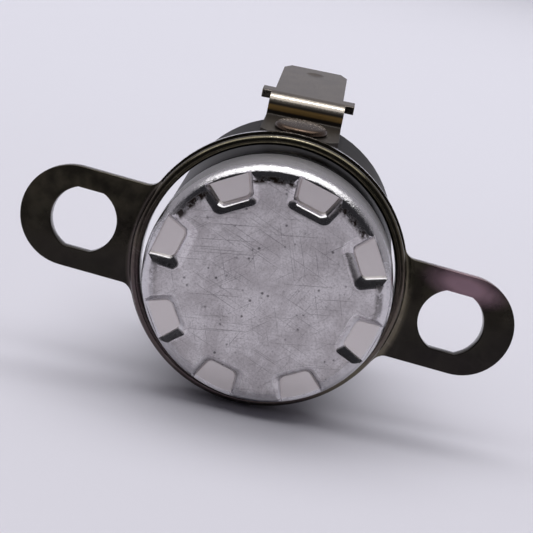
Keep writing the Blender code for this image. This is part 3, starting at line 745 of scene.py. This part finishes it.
def arc_points(centre: Point, radius: float, start: float, end: float,
               steps: int) -> list[Point]:
    """Walk along an arc, both ends included.

    Args:
        centre: the arc's centre.
        radius: its radius.
        start: first angle in degrees.
        end: last angle in degrees.
        steps: number of steps between them.

    Returns:
        The points in order.
    """
    points = []
    for step in range(steps + 1):
        angle = math.radians(start + (end - start) * step / steps)
        points.append((centre[0] + radius * math.cos(angle),
                       centre[1] + radius * math.sin(angle)))
    return points


def turned(profile: list[Point], steps: int = ROUND_STEPS) -> bmesh.types.BMesh:
    """Spin a closed outline about the Y axis.

    Args:
        profile: the outline as (radius, y) points.
        steps: faces around the axis.

    Returns:
        The closed shape.
    """
    shape = bmesh.new()
    corners = [shape.verts.new((radius, y, 0.0)) for radius, y in profile]
    edges = [shape.edges.new((start, end))
             for start, end in zip(corners, corners[1:] + corners[:1])
             if start.co.x > 0.0 or end.co.x > 0.0]
    bmesh.ops.spin(shape, geom=edges, cent=ORIGIN, axis=(0, 1, 0), angle=math.tau,
                   steps=steps, use_merge=True, use_normal_flip=False, use_duplicate=False)
    bmesh.ops.remove_doubles(shape, verts=shape.verts, dist=SAME_CORNER)
    return shape


def raised(shape: bmesh.types.BMesh, faces: list, by: tuple) -> None:
    """Extrude flat faces into a closed prism.

    Args:
        shape: the bmesh that holds them.
        faces: the faces.
        by: how far they are moved.
    """
    grown = bmesh.ops.extrude_face_region(shape, geom=faces)
    corners = [item for item in grown["geom"] if isinstance(item, bmesh.types.BMVert)]
    bmesh.ops.translate(shape, verts=corners, vec=by)


def prism(outline: list[tuple], by: tuple) -> bmesh.types.BMesh:
    """Extrude a flat outline of 3-D points.

    Args:
        outline: the points in order.
        by: how far the outline is moved.

    Returns:
        The closed shape.
    """
    shape = bmesh.new()
    raised(shape, [shape.faces.new([shape.verts.new(point) for point in outline])], by)
    return shape


@dataclass
class SubAssembly:
    """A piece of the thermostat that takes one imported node's place."""

    name: str
    node: str
    body: str
    finish: Shop

    def build(self, frame: dict) -> Piece:
        """Build the piece's mesh in its place; each kind has its own way."""
        raise NotImplementedError(self.name)

    def add(self, frame: dict, materials: dict) -> None:
        """Build the piece, dress it and let it stand for its node.

        Args:
            frame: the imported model.
            materials: the materials made so far, by finish.
        """
        piece = self.build(frame)
        dress(piece, self.finish, materials)
        dress(frame["nodes"][self.node], self.finish, materials)
        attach(piece, self.body)
        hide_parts(self.node)
        log.info("%s rides %s, %d faces", self.name, self.body, len(piece.data.polygons))


@dataclass(frozen=True)
class Dent:
    """How steep in degrees, how deep and how round one dent's edge is."""

    slope: float
    depth: float
    shoulder: float
    outer: float = 7.10 * MM


STEEP = Dent(58.0, 0.52 * MM, 0.55 * MM)
MIDDLE = Dent(50.0, 0.44 * MM, 0.86 * MM, 7.16 * MM)
GENTLE = Dent(40.0, 0.40 * MM, 0.26 * MM, 7.38 * MM)
LOW = Dent(54.0, 0.40 * MM, 0.50 * MM, 7.52 * MM)


@dataclass
class SensingCap(SubAssembly):
    """Drawn aluminium cap with eight dents around its face."""

    name: str = "drawn_cap"
    node: str = "sensing_cap"
    body: str = "switch"
    finish: Shop = Shop.ALUMINIUM_CAP
    radius: float = 7.68 * MM
    wall: float = 0.45 * MM
    corner: float = 1.0 * MM
    end: float = 3.50 * MM
    curl: float = 0.40 * MM
    curl_thick: float = 0.36 * MM
    lip_radius: float = 7.02 * MM
    dents: tuple = (STEEP, STEEP, MIDDLE, GENTLE, LOW, LOW, GENTLE, MIDDLE)
    phase: float = 28.4
    dent_inner: float = 5.82 * MM
    inner_half: float = 0.89 * MM
    flare: float = 0.242
    dent_corner: float = 0.272 * MM
    outer_slope: float = 0.30
    shoulder_steps: int = 8
    # Height over the face and growth of the punch where it leaves the metal.
    punch_top: tuple = ((0.05 * MM, 0.30 * MM), (1.0 * MM, 0.10 * MM))
    boss_scale: tuple = (1.2, 1.0, 1.25)

    def build(self, frame: dict) -> Piece:
        """Spin the cap, raise the bosses inside and press the dents.

        Args:
            frame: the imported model, not used.

        Returns:
            The cap.
        """
        inner = self.radius - self.wall
        inner_corner = self.corner - self.wall
        curl_end = self.end - self.curl_thick
        profile = [(0.0, 0.0)]
        profile += arc_points((self.radius - self.corner, self.corner), self.corner,
                              -90.0, 0.0, 16)
        profile += arc_points((self.radius - self.curl, self.end - self.curl), self.curl,
                              0.0, 90.0, 8)
        profile += [(self.lip_radius, self.end), (self.lip_radius, curl_end), (inner, curl_end)]
        profile += arc_points((inner - inner_corner, self.corner), inner_corner, 0.0, -90.0, 6)
        profile += [(0.0, self.wall)]
        cap = finished_object(self.name, turned(profile))
        bosses = bmesh.new()
        punches = bmesh.new()
        for index, dent in enumerate(self.dents):
            self.place_dent(self.boss(dent), bosses, index)
            self.place_dent(self.punch(dent), punches, index)
        cut(cap, finished_object("bosses", bosses), Join.ADD)
        cut(cap, finished_object("punches", punches))
        smooth_shading(cap, SHARP_STAMPING)
        flat_shading(cap)
        return cap

    def outline(self, shape: bmesh.types.BMesh, outer: float,
                depth: float) -> bmesh.types.BMFace:
        """Draw one dent's rounded trapezoid, centred on +Z.

        Args:
            shape: the bmesh that gets it.
            outer: radius of its outer side.
            depth: where it lies along Y.

        Returns:
            Its face.
        """
        half = self.inner_half + self.flare * (outer - self.dent_inner)
        corners = [(-half, outer), (half, outer),
                   (self.inner_half, self.dent_inner), (-self.inner_half, self.dent_inner)]
        verts = [shape.verts.new((x, depth, z)) for x, z in corners]
        shape.faces.new(verts)
        bmesh.ops.bevel(shape, geom=verts[2:], offset=self.dent_corner,
                        affect="VERTICES", segments=6, profile=0.5, material=-1,
                        offset_type="OFFSET", clamp_overlap=True)
        return max(shape.faces, key=lambda face: face.calc_area())

    def place_dent(self, shape: bmesh.types.BMesh, target: bmesh.types.BMesh,
                   index: int) -> None:
        """Turn one dent's shape to its place and add it to others.

        Args:
            shape: the dent's shape at +Z, which is freed.
            target: the bmesh that gets it.
            index: the dent's number.
        """
        angle = index * math.tau / len(self.dents) - math.radians(self.phase)
        bmesh.ops.rotate(shape, verts=shape.verts, cent=ORIGIN,
                         matrix=Matrix.Rotation(angle, 3, "Y"))
        bmesh.ops.recalc_face_normals(shape, faces=shape.faces)
        mesh = bpy.data.meshes.new("dent")
        shape.to_mesh(mesh)
        shape.free()
        target.from_mesh(mesh)
        bpy.data.meshes.remove(mesh)

    def punch_levels(self, dent: Dent) -> list[Point]:
        """List the punch's levels above its floor.

        Args:
            dent: the dent's kind.

        Returns:
            Depth and growth of each level, from the wall's top over the shoulder.
        """
        slope = math.radians(dent.slope)
        drop = dent.shoulder * (1 - math.cos(slope))
        wall_width = (dent.depth - drop) / math.tan(slope)
        levels = []
        for step in range(self.shoulder_steps + 1):
            angle = slope * (1 - step / self.shoulder_steps)
            levels.append((dent.shoulder * (1 - math.cos(angle)), wall_width
                           + dent.shoulder * (math.sin(slope) - math.sin(angle))))
        for height, growth in self.punch_top:
            levels.append((-height, levels[-1][1] + growth))
        return levels

    def punch(self, dent: Dent) -> bmesh.types.BMesh:
        """Shape a dent's hollow: flat floor, short wall and rounded shoulder.

        Args:
            dent: the dent's kind.

        Returns:
            The solid that is cut away, at +Z.
        """
        shape = bmesh.new()
        face = self.outline(shape, dent.outer, dent.depth)
        length = dent.outer - self.dent_inner
        width = 2 * self.inner_half + self.flare * length
        at_depth = dent.depth
        grown_by = 0.0
        for depth, grow in self.punch_levels(dent):
            step = bmesh.ops.extrude_face_region(shape, geom=[face])
            if at_depth < dent.depth:
                bmesh.ops.delete(shape, geom=[face], context="FACES_ONLY")
            face = [item for item in step["geom"] if isinstance(item, bmesh.types.BMFace)][0]
            far = max(vert.co.z for vert in face.verts)
            outer = [vert for vert in face.verts if vert.co.z > far - LEVEL]
            edge = Vector((0.0, 0.0, outer[0].co.z))
            wide = (width + 2 * grow) / (width + 2 * grown_by)
            long = (length + grow) / (length + grown_by)
            bmesh.ops.scale(shape, verts=face.verts, vec=(wide, 1.0, long),
                            space=Matrix.Translation(-edge))
            bmesh.ops.translate(shape, verts=face.verts, vec=(0.0, depth - at_depth, 0.0))
            bmesh.ops.translate(shape, verts=outer,
                                vec=(0.0, 0.0, self.outer_slope * (at_depth - depth)))
            at_depth = depth
            grown_by = grow
        return shape

    def boss(self, dent: Dent) -> bmesh.types.BMesh:
        """Shape the step that a dent raises inside the cap.

        Args:
            dent: the dent's kind.

        Returns:
            The solid that is added, at +Z.
        """
        shape = bmesh.new()
        face = self.outline(shape, STEEP.outer, 0.5 * self.wall)
        raised(shape, [face], (0.0, dent.depth + 0.5 * self.wall, 0.0))
        centre = Vector((0.0, 0.0, (STEEP.outer + self.dent_inner) / 2))
        bmesh.ops.scale(shape, verts=shape.verts, vec=self.boss_scale,
                        space=Matrix.Translation(-centre))
        return shape


class Ear(IntEnum):
    """The bracket's ears and their way along its own X axis."""

    LEFT = -1
    RIGHT = 1


@dataclass
class MountingBracket(SubAssembly):
    """Loose bracket: a drawn collar with a rolled lip and two flat ears."""

    name: str = "collar_and_ears"
    node: str = "mounting_bracket"
    body: str = "bracket"
    finish: Shop = Shop.BLACKENED_STEEL
    bore: float = 8.00 * MM
    wall: float = 0.60 * MM
    proud: float = 0.90 * MM
    back_curve: float = 0.45 * MM
    plate_rim: float = 0.16 * MM
    thick: float = 0.80 * MM
    pitch: float = 24.0 * MM
    ear_width: float = 6.44 * MM
    end_offset: float = 0.82 * MM
    root: float = 0.90 * MM
    fillet: float = 0.40 * MM
    hole: float = 2.09 * MM
    hole_half: float = 1.92 * MM
    break_edge: float = 0.06 * MM
    edge_angle: float = 1.2

    @property
    def outer(self) -> float:
        """Outer radius of the collar."""
        return self.bore + self.wall

    @property
    def front(self) -> float:
        """The ears' front face, measured from the lip's centre."""
        return self.proud - self.wall / 2

    @property
    def back(self) -> float:
        """The ears' back face."""
        return self.front + self.thick

    def place(self, frame: dict) -> Matrix:
        """Find where the bracket hangs from its hinge and its two ears.

        Args:
            frame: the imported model, with its joints and record.

        Returns:
            The matrix that carries the bracket's own frame to its place.
        """
        joint = [item for item in frame["joints"] if item["name"] == "bracket_swivel"][0]
        mounts = {item["name"]: Vector(item["pos_m"]) for item in frame["record"]["mounts"]}
        along = Vector(joint["axis"]).normalized()
        across = (mounts["right_ear_front"] - mounts["left_ear_front"]).normalized()
        up = across.cross(along).normalized()
        across = along.cross(up).normalized()
        turn = Matrix((across, along, up)).transposed().to_4x4()
        return Matrix.Translation(Vector(joint["pos_m"])) @ turn

    def build(self, frame: dict) -> Piece:
        """Spin the collar, add the ears and hang the bracket in its place.

        Args:
            frame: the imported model, with the bracket's hinge and mounts.

        Returns:
            The bracket.
        """
        middle = self.bore + self.wall / 2
        profile = arc_points((middle, 0.0), self.wall / 2, 180.0, 360.0, 20)
        rim = self.outer + self.plate_rim
        profile += [(self.outer, self.front), (rim, self.front), (rim, self.back)]
        profile += arc_points((self.bore + self.back_curve, self.back - self.back_curve),
                              self.back_curve, 90.0, 180.0, 8)
        bracket = finished_object(self.name, turned(profile))
        for side in Ear:
            cut(bracket, self.fillet_ring(side), Join.ADD)
            cut(bracket, self.ear(side), Join.ADD)
        smooth_shading(bracket, SHARP_TURNING)
        flat_shading(bracket)
        bracket.data.transform(self.place(frame))
        bracket.data.update()
        return bracket

    def hole_outline(self, side: Ear) -> list[Point]:
        """Draw one ear's hole: a circle with two flats.

        Args:
            side: the ear.

        Returns:
            The outline as (x, z) points.
        """
        limit = math.degrees(math.asin(self.hole_half / self.hole))
        points = arc_points((0.0, 0.0), self.hole, -limit, limit, 24)
        points += arc_points((0.0, 0.0), self.hole, 180.0 - limit, 180.0 + limit, 24)
        return [(side * self.pitch / 2 + x, z) for x, z in points]

    def ear_outline(self, side: Ear) -> list[Point]:
        """Draw one ear with the small curves where it leaves the ring.

        Args:
            side: the ear.

        Returns:
            The outline as (x, z) points.
        """
        half = self.ear_width / 2
        rim = self.outer + self.plate_rim
        centre_z = half + self.root
        centre_x = math.sqrt((rim + self.root) ** 2 - centre_z ** 2)
        bearing = math.degrees(math.atan2(centre_z, centre_x))
        curve = arc_points((centre_x, centre_z), self.root, -180.0 + bearing, -90.0, 8)
        inner = self.bore + self.wall / 2
        sweep = arc_points((0.0, 0.0), inner, -bearing, bearing, 16)
        round_end = arc_points((self.pitch / 2 + self.end_offset, 0.0), half, 90.0, -90.0, 32)
        mirrored = [(x, -z) for x, z in reversed(curve)]
        return [(side * x, z) for x, z in sweep + curve + round_end + mirrored]

    def ear(self, side: Ear) -> Piece:
        """Stamp one flat ear with its hole and broken edges.

        Args:
            side: the ear.

        Returns:
            The ear in the bracket's own frame.
        """
        shape = bmesh.new()
        for outline in (self.ear_outline(side), self.hole_outline(side)):
            corners = [shape.verts.new((x, self.front, z)) for x, z in outline]
            for start, end in zip(corners, corners[1:] + corners[:1]):
                shape.edges.new((start, end))
        bmesh.ops.triangle_fill(shape, edges=shape.edges[:], use_beauty=True)
        bmesh.ops.recalc_face_normals(shape, faces=shape.faces)
        raised(shape, shape.faces[:], (0.0, self.thick, 0.0))
        bmesh.ops.recalc_face_normals(shape, faces=shape.faces)
        sharp = [edge for edge in shape.edges
                 if edge.calc_face_angle(0.0) > self.edge_angle
                 and abs(edge.verts[0].co.y - edge.verts[1].co.y) < LEVEL]
        bmesh.ops.bevel(shape, geom=sharp, offset=self.break_edge, affect="EDGES", segments=3,
                        profile=0.5, material=-1, offset_type="OFFSET", clamp_overlap=True)
        return finished_object("ear", shape)

    def fillet_ring(self, side: Ear) -> Piece:
        """Shape the draw radius between the collar and one ear.

        Args:
            side: the ear.

        Returns:
            The part of a ring that lies over the ear.
        """
        top = self.front - self.fillet
        inside = self.outer - self.wall / 2
        middle = self.front + self.thick / 2
        profile = [(inside, top)]
        profile += arc_points((self.outer + self.fillet, top), self.fillet, 180.0, 90.0, 8)
        profile += [(self.outer + self.fillet, middle), (inside, middle)]
        ring = finished_object("fillet", turned(profile))
        keep = prism([(x, top - self.fillet, z) for x, z in self.ear_outline(side)],
                     (0.0, 3 * self.thick, 0.0))
        cut(ring, finished_object("keep", keep), Join.KEEP_COMMON)
        return ring


class End(IntEnum):
    """The terminals and their way along Z."""

    UPPER = 1
    LOWER = -1

    @property
    def word(self) -> str:
        """The end's name as it stands in the names of pieces."""
        return self.name.lower()


@dataclass
class TabTerminal(SubAssembly):
    """Tab terminal stamped from plated strip: foot, two bends and a blade."""

    side: End
    thick: float = 0.50 * MM
    foot_start: float = 8.20 * MM
    foot_middle: float = 7.49 * MM
    riser_front: float = 13.30 * MM
    top_bend: float = 1.28 * MM
    foot_bend: float = 0.66 * MM
    blade_end: float = 23.510 * MM
    end_middle: float = 9.331 * MM
    splay: float = 2.4
    foot_half: float = 2.60 * MM
    foot_corner: float = 0.60 * MM
    shoulder_half: float = 3.225 * MM
    shoulder_start: float = 14.22 * MM
    shoulder_end: float = 15.38 * MM
    blade_half: float = 2.40 * MM
    chamfer: float = 0.50 * MM
    rivet_at: float = 10.20 * MM
    rivet_hole: float = 0.90 * MM
    dimple_at: float = 21.50 * MM
    dimple_radius: float = 0.70 * MM
    dimple_depth: float = 0.14 * MM
    edge: float = 0.05 * MM

    @classmethod
    def at(cls, side: End) -> "TabTerminal":
        """The terminal at one end."""
        return cls(f"{side.word}_tab", f"{side.word}_terminal", "switch",
                   Shop.NICKEL_PLATE, side)

    def top_at(self, y: float) -> float:
        """Height of the blade's top face over a place along it."""
        rise = (y - self.blade_end) * math.tan(math.radians(self.splay))
        return self.end_middle + rise + self.thick / 2

    def side_outline(self) -> list[Point]:
        """Draw the bent strip from the side.

        Returns:
            The outline as (y, z) points, back along its underside.
        """
        half = self.thick / 2
        centre_y = self.riser_front + self.top_bend
        centre = (centre_y, self.top_at(centre_y) - self.top_bend)
        low = (self.riser_front + self.thick - self.foot_bend,
               self.foot_middle - half + self.foot_bend)
        outline = [(self.foot_start, self.foot_middle + half)]
        outline += arc_points(low, self.foot_bend - self.thick, -90.0, 0.0, 6)
        outline += arc_points(centre, self.top_bend, 180.0, 90.0 + self.splay, 28)
        outline += [(self.blade_end, self.end_middle + half),
                    (self.blade_end, self.end_middle - half)]
        outline += arc_points(centre, self.top_bend - self.thick, 90.0 + self.splay, 180.0, 16)
        outline += arc_points(low, self.foot_bend, 0.0, -90.0, 12)
        outline += [(self.foot_start, self.foot_middle - half)]
        return outline

    def plan_outline(self) -> list[Point]:
        """Draw the flat blank from above.

        Returns:
            The outline as (x, y) points.
        """
        half = [(self.foot_half - self.foot_corner, self.foot_start - self.thick),
                (self.foot_half - self.foot_corner, self.foot_start),
                (self.foot_half, self.foot_start + self.foot_corner),
                (self.foot_half, self.shoulder_start),
                (self.shoulder_half, self.shoulder_start),
                (self.shoulder_half, self.shoulder_end),
                (self.blade_half, self.shoulder_end),
                (self.blade_half, self.blade_end - 2 * self.chamfer),
                (self.blade_half - self.chamfer, self.blade_end),
                (self.blade_half - self.chamfer, self.blade_end + self.thick)]
        return half + [(-x, y) for x, y in reversed(half)]

    def build(self, frame: dict) -> Piece:
        """Bend the strip, stamp its outline, pierce its foot and dimple its blade.

        Args:
            frame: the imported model, not used.

        Returns:
            The terminal.
        """
        wide = self.shoulder_half + self.thick
        strip = prism([(-wide, y, self.side * z) for y, z in self.side_outline()],
                      (2 * wide, 0.0, 0.0))
        piece = finished_object(self.name, strip)
        low = self.side * 0.5 * self.foot_middle
        blank = prism([(x, y, low) for x, y in self.plan_outline()],
                      (0.0, 0.0, self.side * self.foot_middle))
        cut(piece, finished_object("blank", blank), Join.KEEP_COMMON)
        drill = bmesh.new()
        bmesh.ops.create_cone(drill, cap_ends=True, segments=48, radius1=self.rivet_hole,
                              radius2=self.rivet_hole, depth=4 * self.thick,
                              matrix=Matrix.Translation(
                                  (0.0, self.rivet_at, self.side * self.foot_middle)))
        cut(piece, finished_object("drill", drill))
        cut(piece, self.dimple())
        smooth_shading(piece, SHARP_STAMPING)
        soften(piece, self.edge)
        return piece

    def dimple(self) -> Piece:
        """Shape the ball that leaves the blade's shallow dimple.

        Returns:
            The ball, over the blade.
        """
        radius = (self.dimple_radius ** 2 + self.dimple_depth ** 2) / (2 * self.dimple_depth)
        height = self.side * (self.top_at(self.dimple_at) + radius - self.dimple_depth)
        ball = bmesh.new()
        bmesh.ops.create_uvsphere(ball, u_segments=96, v_segments=64, radius=radius,
                                  matrix=Matrix.Translation((0.0, self.dimple_at, height)))
        return finished_object("ball", ball)


@dataclass
class TubularRivet(SubAssembly):
    """Rivet that clamps a terminal: low pan head outside, flared tail inside."""

    side: End
    centre: float = 10.20 * MM
    head_base: float = 7.84 * MM
    head_radius: float = 1.75 * MM
    head_height: float = 0.44 * MM
    head_edge: float = 0.32 * MM
    head_arc: float = 78.0
    crown: float = 0.10 * MM
    crown_steps: int = 8
    shank: float = 0.80 * MM
    tail_low: float = 4.40 * MM
    tail_high: float = 4.75 * MM
    tail_radius: float = 1.25 * MM
    tail_edge: float = 0.08 * MM
    around: int = 96
    sharp: float = 50.0

    @classmethod
    def at(cls, side: End) -> "TubularRivet":
        """The rivet at one end."""
        return cls(f"{side.word}_rivet", f"{side.word}_terminal_rivet", "switch",
                   Shop.DULL_SHADED_NICKEL, side)

    def build(self, frame: dict) -> Piece:
        """Spin the rivet's outline about its own axis.

        Args:
            frame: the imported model, not used.

        Returns:
            The rivet.
        """
        top = self.head_base + self.head_height
        profile = [(0.0, self.tail_low), (self.tail_radius - self.tail_edge, self.tail_low),
                   (self.tail_radius, self.tail_low + self.tail_edge),
                   (self.tail_radius, self.tail_high), (self.shank, self.tail_high),
                   (self.shank, self.head_base), (self.head_radius, self.head_base)]
        profile += arc_points((self.head_radius - self.head_edge,
                               top - self.crown - self.head_edge),
                              self.head_edge, 0.0, self.head_arc, 12)
        start_radius, start_top = profile[-1]
        for step in range(1, self.crown_steps + 1):
            left = 1 - step / self.crown_steps
            profile.append((start_radius * left,
                            start_top + (top - start_top) * (1 - left ** 2)))
        shape = turned(profile, self.around)
        bmesh.ops.rotate(shape, verts=shape.verts, cent=ORIGIN,
                         matrix=Matrix.Rotation(self.side * math.pi / 2, 3, "X"))
        bmesh.ops.translate(shape, verts=shape.verts, vec=(0.0, self.centre, 0.0))
        return finished_object(self.name, shape, self.sharp)


@dataclass
class MouldedBody(SubAssembly):
    """Moulded cup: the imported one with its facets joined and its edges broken."""

    name: str = "moulded_body"
    node: str = "housing"
    body: str = "switch"
    finish: Shop = Shop.PHENOLIC
    edge: float = 0.10 * MM
    flat_angle: float = 0.6

    def build(self, frame: dict) -> Piece:
        """Copy the node's mesh, join its flat faces and round its edges.

        Args:
            frame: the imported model, with the node.

        Returns:
            The body.
        """
        shape = bmesh.new()
        shape.from_mesh(frame["nodes"][self.node].data)
        bmesh.ops.remove_doubles(shape, verts=shape.verts, dist=SAME_CORNER)
        bmesh.ops.dissolve_limit(shape, angle_limit=math.radians(self.flat_angle),
                                 verts=shape.verts, edges=shape.edges, delimit={"NORMAL"})
        piece = finished_object(self.name, shape)
        soften(piece, self.edge)
        return piece


@dataclass(frozen=True)
class Mechanism:
    """The hidden pieces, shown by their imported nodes."""

    finishes: tuple = (("bimetal_disc", Shop.BIMETAL), ("pin_guide", Shop.CERAMIC),
                       ("transfer_pin", Shop.CERAMIC), ("contact_spring", Shop.COPPER_ALLOY),
                       ("fixed_contact_strip", Shop.COPPER_ALLOY),
                       ("fixed_contact", Shop.SILVER), ("moving_contact", Shop.SILVER))

    def add(self, frame: dict, materials: dict) -> None:
        """Dress the nodes.

        Args:
            frame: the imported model.
            materials: the materials made so far, by finish.
        """
        for node, finish in self.finishes:
            dress(frame["nodes"][node], finish, materials)
            log.info("%s keeps its packed shape", node)


@dataclass(frozen=True)
class Lamp:
    """A rectangular soft lamp that hangs level and shines down."""

    name: str
    at: tuple
    size: Point
    power: float
    glossy: bool = True
    diffuse: bool = True

    def build(self) -> None:
        """Hang the lamp."""
        light = bpy.data.lights.new(self.name, "AREA")
        light.shape = "RECTANGLE"
        light.size, light.size_y = self.size
        light.energy = self.power
        item = bpy.data.objects.new(self.name, light)
        item.location = self.at
        item.visible_glossy = self.glossy
        item.visible_diffuse = self.diffuse
        bpy.context.scene.collection.objects.link(item)


@dataclass
class Studio:
    """Pale card, soft lamps and a room with a darker side towards the viewer."""

    card_finish: Finish = MattCard("pale card", "#d7d5de", 0.0, 0.7)
    backdrop: str = "#dddbe8"
    ring_foot: Point = (3.25 * MM, -8.73 * MM)
    blade_foot: Point = (23.5 * MM, -9.585 * MM)
    reach: float = 1.2
    front: float = 0.085
    room_light: Colour = (0.38, 0.37, 0.40, 1.0)
    room_dark: Colour = (0.03, 0.03, 0.034, 1.0)
    dark_way: tuple = (0.0, -0.64, 0.77)
    dark_edge: Point = (0.28, 0.60)
    lamps: tuple = (
        Lamp("overhead softbox", (-0.20, 0.06, 1.0), (2.0, 0.84), 10.0),
        Lamp("ceiling bounce", (0.05, 0.42, 1.0), (1.3, 0.5), 5.6, glossy=False),
        Lamp("lamp inside the softbox", (-0.02, 0.10, 0.98), (0.36, 0.12), 1.9,
             diffuse=False))

    def build(self) -> None:
        """Build the card, the lamps and the room."""
        self.card()
        for lamp in self.lamps:
            lamp.build()
        self.room()

    def card(self) -> None:
        """Lay a pale card under the ring's lowest point and the lower tab's tip."""
        slope = math.atan2(self.blade_foot[1] - self.ring_foot[1],
                           self.blade_foot[0] - self.ring_foot[0])
        shape = bmesh.new()
        bmesh.ops.create_grid(shape, x_segments=1, y_segments=1, size=self.reach)
        bmesh.ops.translate(shape, verts=shape.verts, vec=(0.0, self.reach - self.front, 0.0))
        bmesh.ops.rotate(shape, verts=shape.verts, cent=ORIGIN,
                         matrix=Matrix.Rotation(slope, 3, "X"))
        bmesh.ops.translate(shape, verts=shape.verts, vec=(0.0, *self.ring_foot))
        card = finished_object("pale_card", shape)
        card.data.materials.append(self.card_finish.material())

    def room(self) -> None:
        """Light the room softly; the camera itself sees the pale backdrop."""
        world = bpy.data.worlds.new("soft room")
        bpy.context.scene.world = world
        world.use_nodes = True
        tree = world.node_tree
        tree.nodes.clear()
        way = add_node(tree, "TexCoord", {}, {}, "Generated")
        front = add_node(tree, "VectorMath", {"operation": "DOT_PRODUCT"},
                         (way, self.dark_way), "Value")
        seen = add_node(tree, "LightPath", {}, {}, "Is Camera Ray")
        tone = layered(tree, Blend.COLOUR, self.room_light,
                       (zone(tree, (front, *self.dark_edge)), 1.0, self.room_dark),
                       (seen, 1.0, self.backdrop))
        light = add_node(tree, "Background", {}, {"Color": tone, "Strength": 1.0})
        add_node(tree, "OutputWorld", {}, {"Surface": light})


@dataclass
class PhotoCamera:
    """The photograph's view; angles in degrees, focal and origin_at in pixels."""

    azimuth: float = -1.336
    elevation: float = 20.5
    roll: float = 11.363
    distance: float = 71.616 * MM
    focal: float = 1193.6
    origin_at: Point = (264.907, 290.919)
    sensor: float = 36.0
    clip: Point = (1.0 * MM, 10.0)

    def build(self) -> None:
        """Place the camera so that the face's centre falls where the photo has it."""
        azimuth = math.radians(self.azimuth)
        elevation = math.radians(self.elevation)
        towards = Vector((-math.sin(azimuth) * math.cos(elevation),
                          -math.cos(azimuth) * math.cos(elevation), math.sin(elevation)))
        ahead = -towards
        right = ahead.cross(Vector((0, 0, 1))).normalized()
        up = right.cross(ahead)
        turn = math.radians(self.roll)
        rolled = Matrix(((math.cos(turn), math.sin(turn), 0.0),
                         (-math.sin(turn), math.cos(turn), 0.0),
                         (0.0, 0.0, 1.0))) @ Matrix((right, up, ahead))
        middle = PHOTO_SIDE / 2
        ray = Vector(((self.origin_at[0] - middle) / self.focal,
                      -(self.origin_at[1] - middle) / self.focal, 1.0)).normalized()
        swing = Vector((0, 0, 1)).rotation_difference(ray).to_matrix()
        axes = swing @ rolled
        lens = bpy.data.cameras.new("photo camera")
        lens.sensor_width = self.sensor
        lens.lens = self.focal * self.sensor / PHOTO_SIDE
        lens.clip_start, lens.clip_end = self.clip
        camera = bpy.data.objects.new("photo camera", lens)
        turned_axes = Matrix((axes[0], axes[1], -axes[2])).transposed().to_4x4()
        camera.matrix_world = Matrix.Translation(towards * self.distance) @ turned_axes
        bpy.context.scene.collection.objects.link(camera)
        bpy.context.scene.camera = camera


def main() -> None:
    """Dress the thermostat piece by piece."""
    logging.basicConfig(level=logging.INFO, format="%(name)s: %(message)s")
    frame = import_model()
    bpy.context.scene.view_settings.view_transform = "Standard"
    PhotoCamera().build()
    Studio().build()

    materials: dict = {}
    parts = [SensingCap(), MountingBracket(), MouldedBody()]
    for side in End:
        parts += [TabTerminal.at(side), TubularRivet.at(side)]
    for part in [*parts, Mechanism()]:
        part.add(frame, materials)


if __name__ == "__main__":
    main()
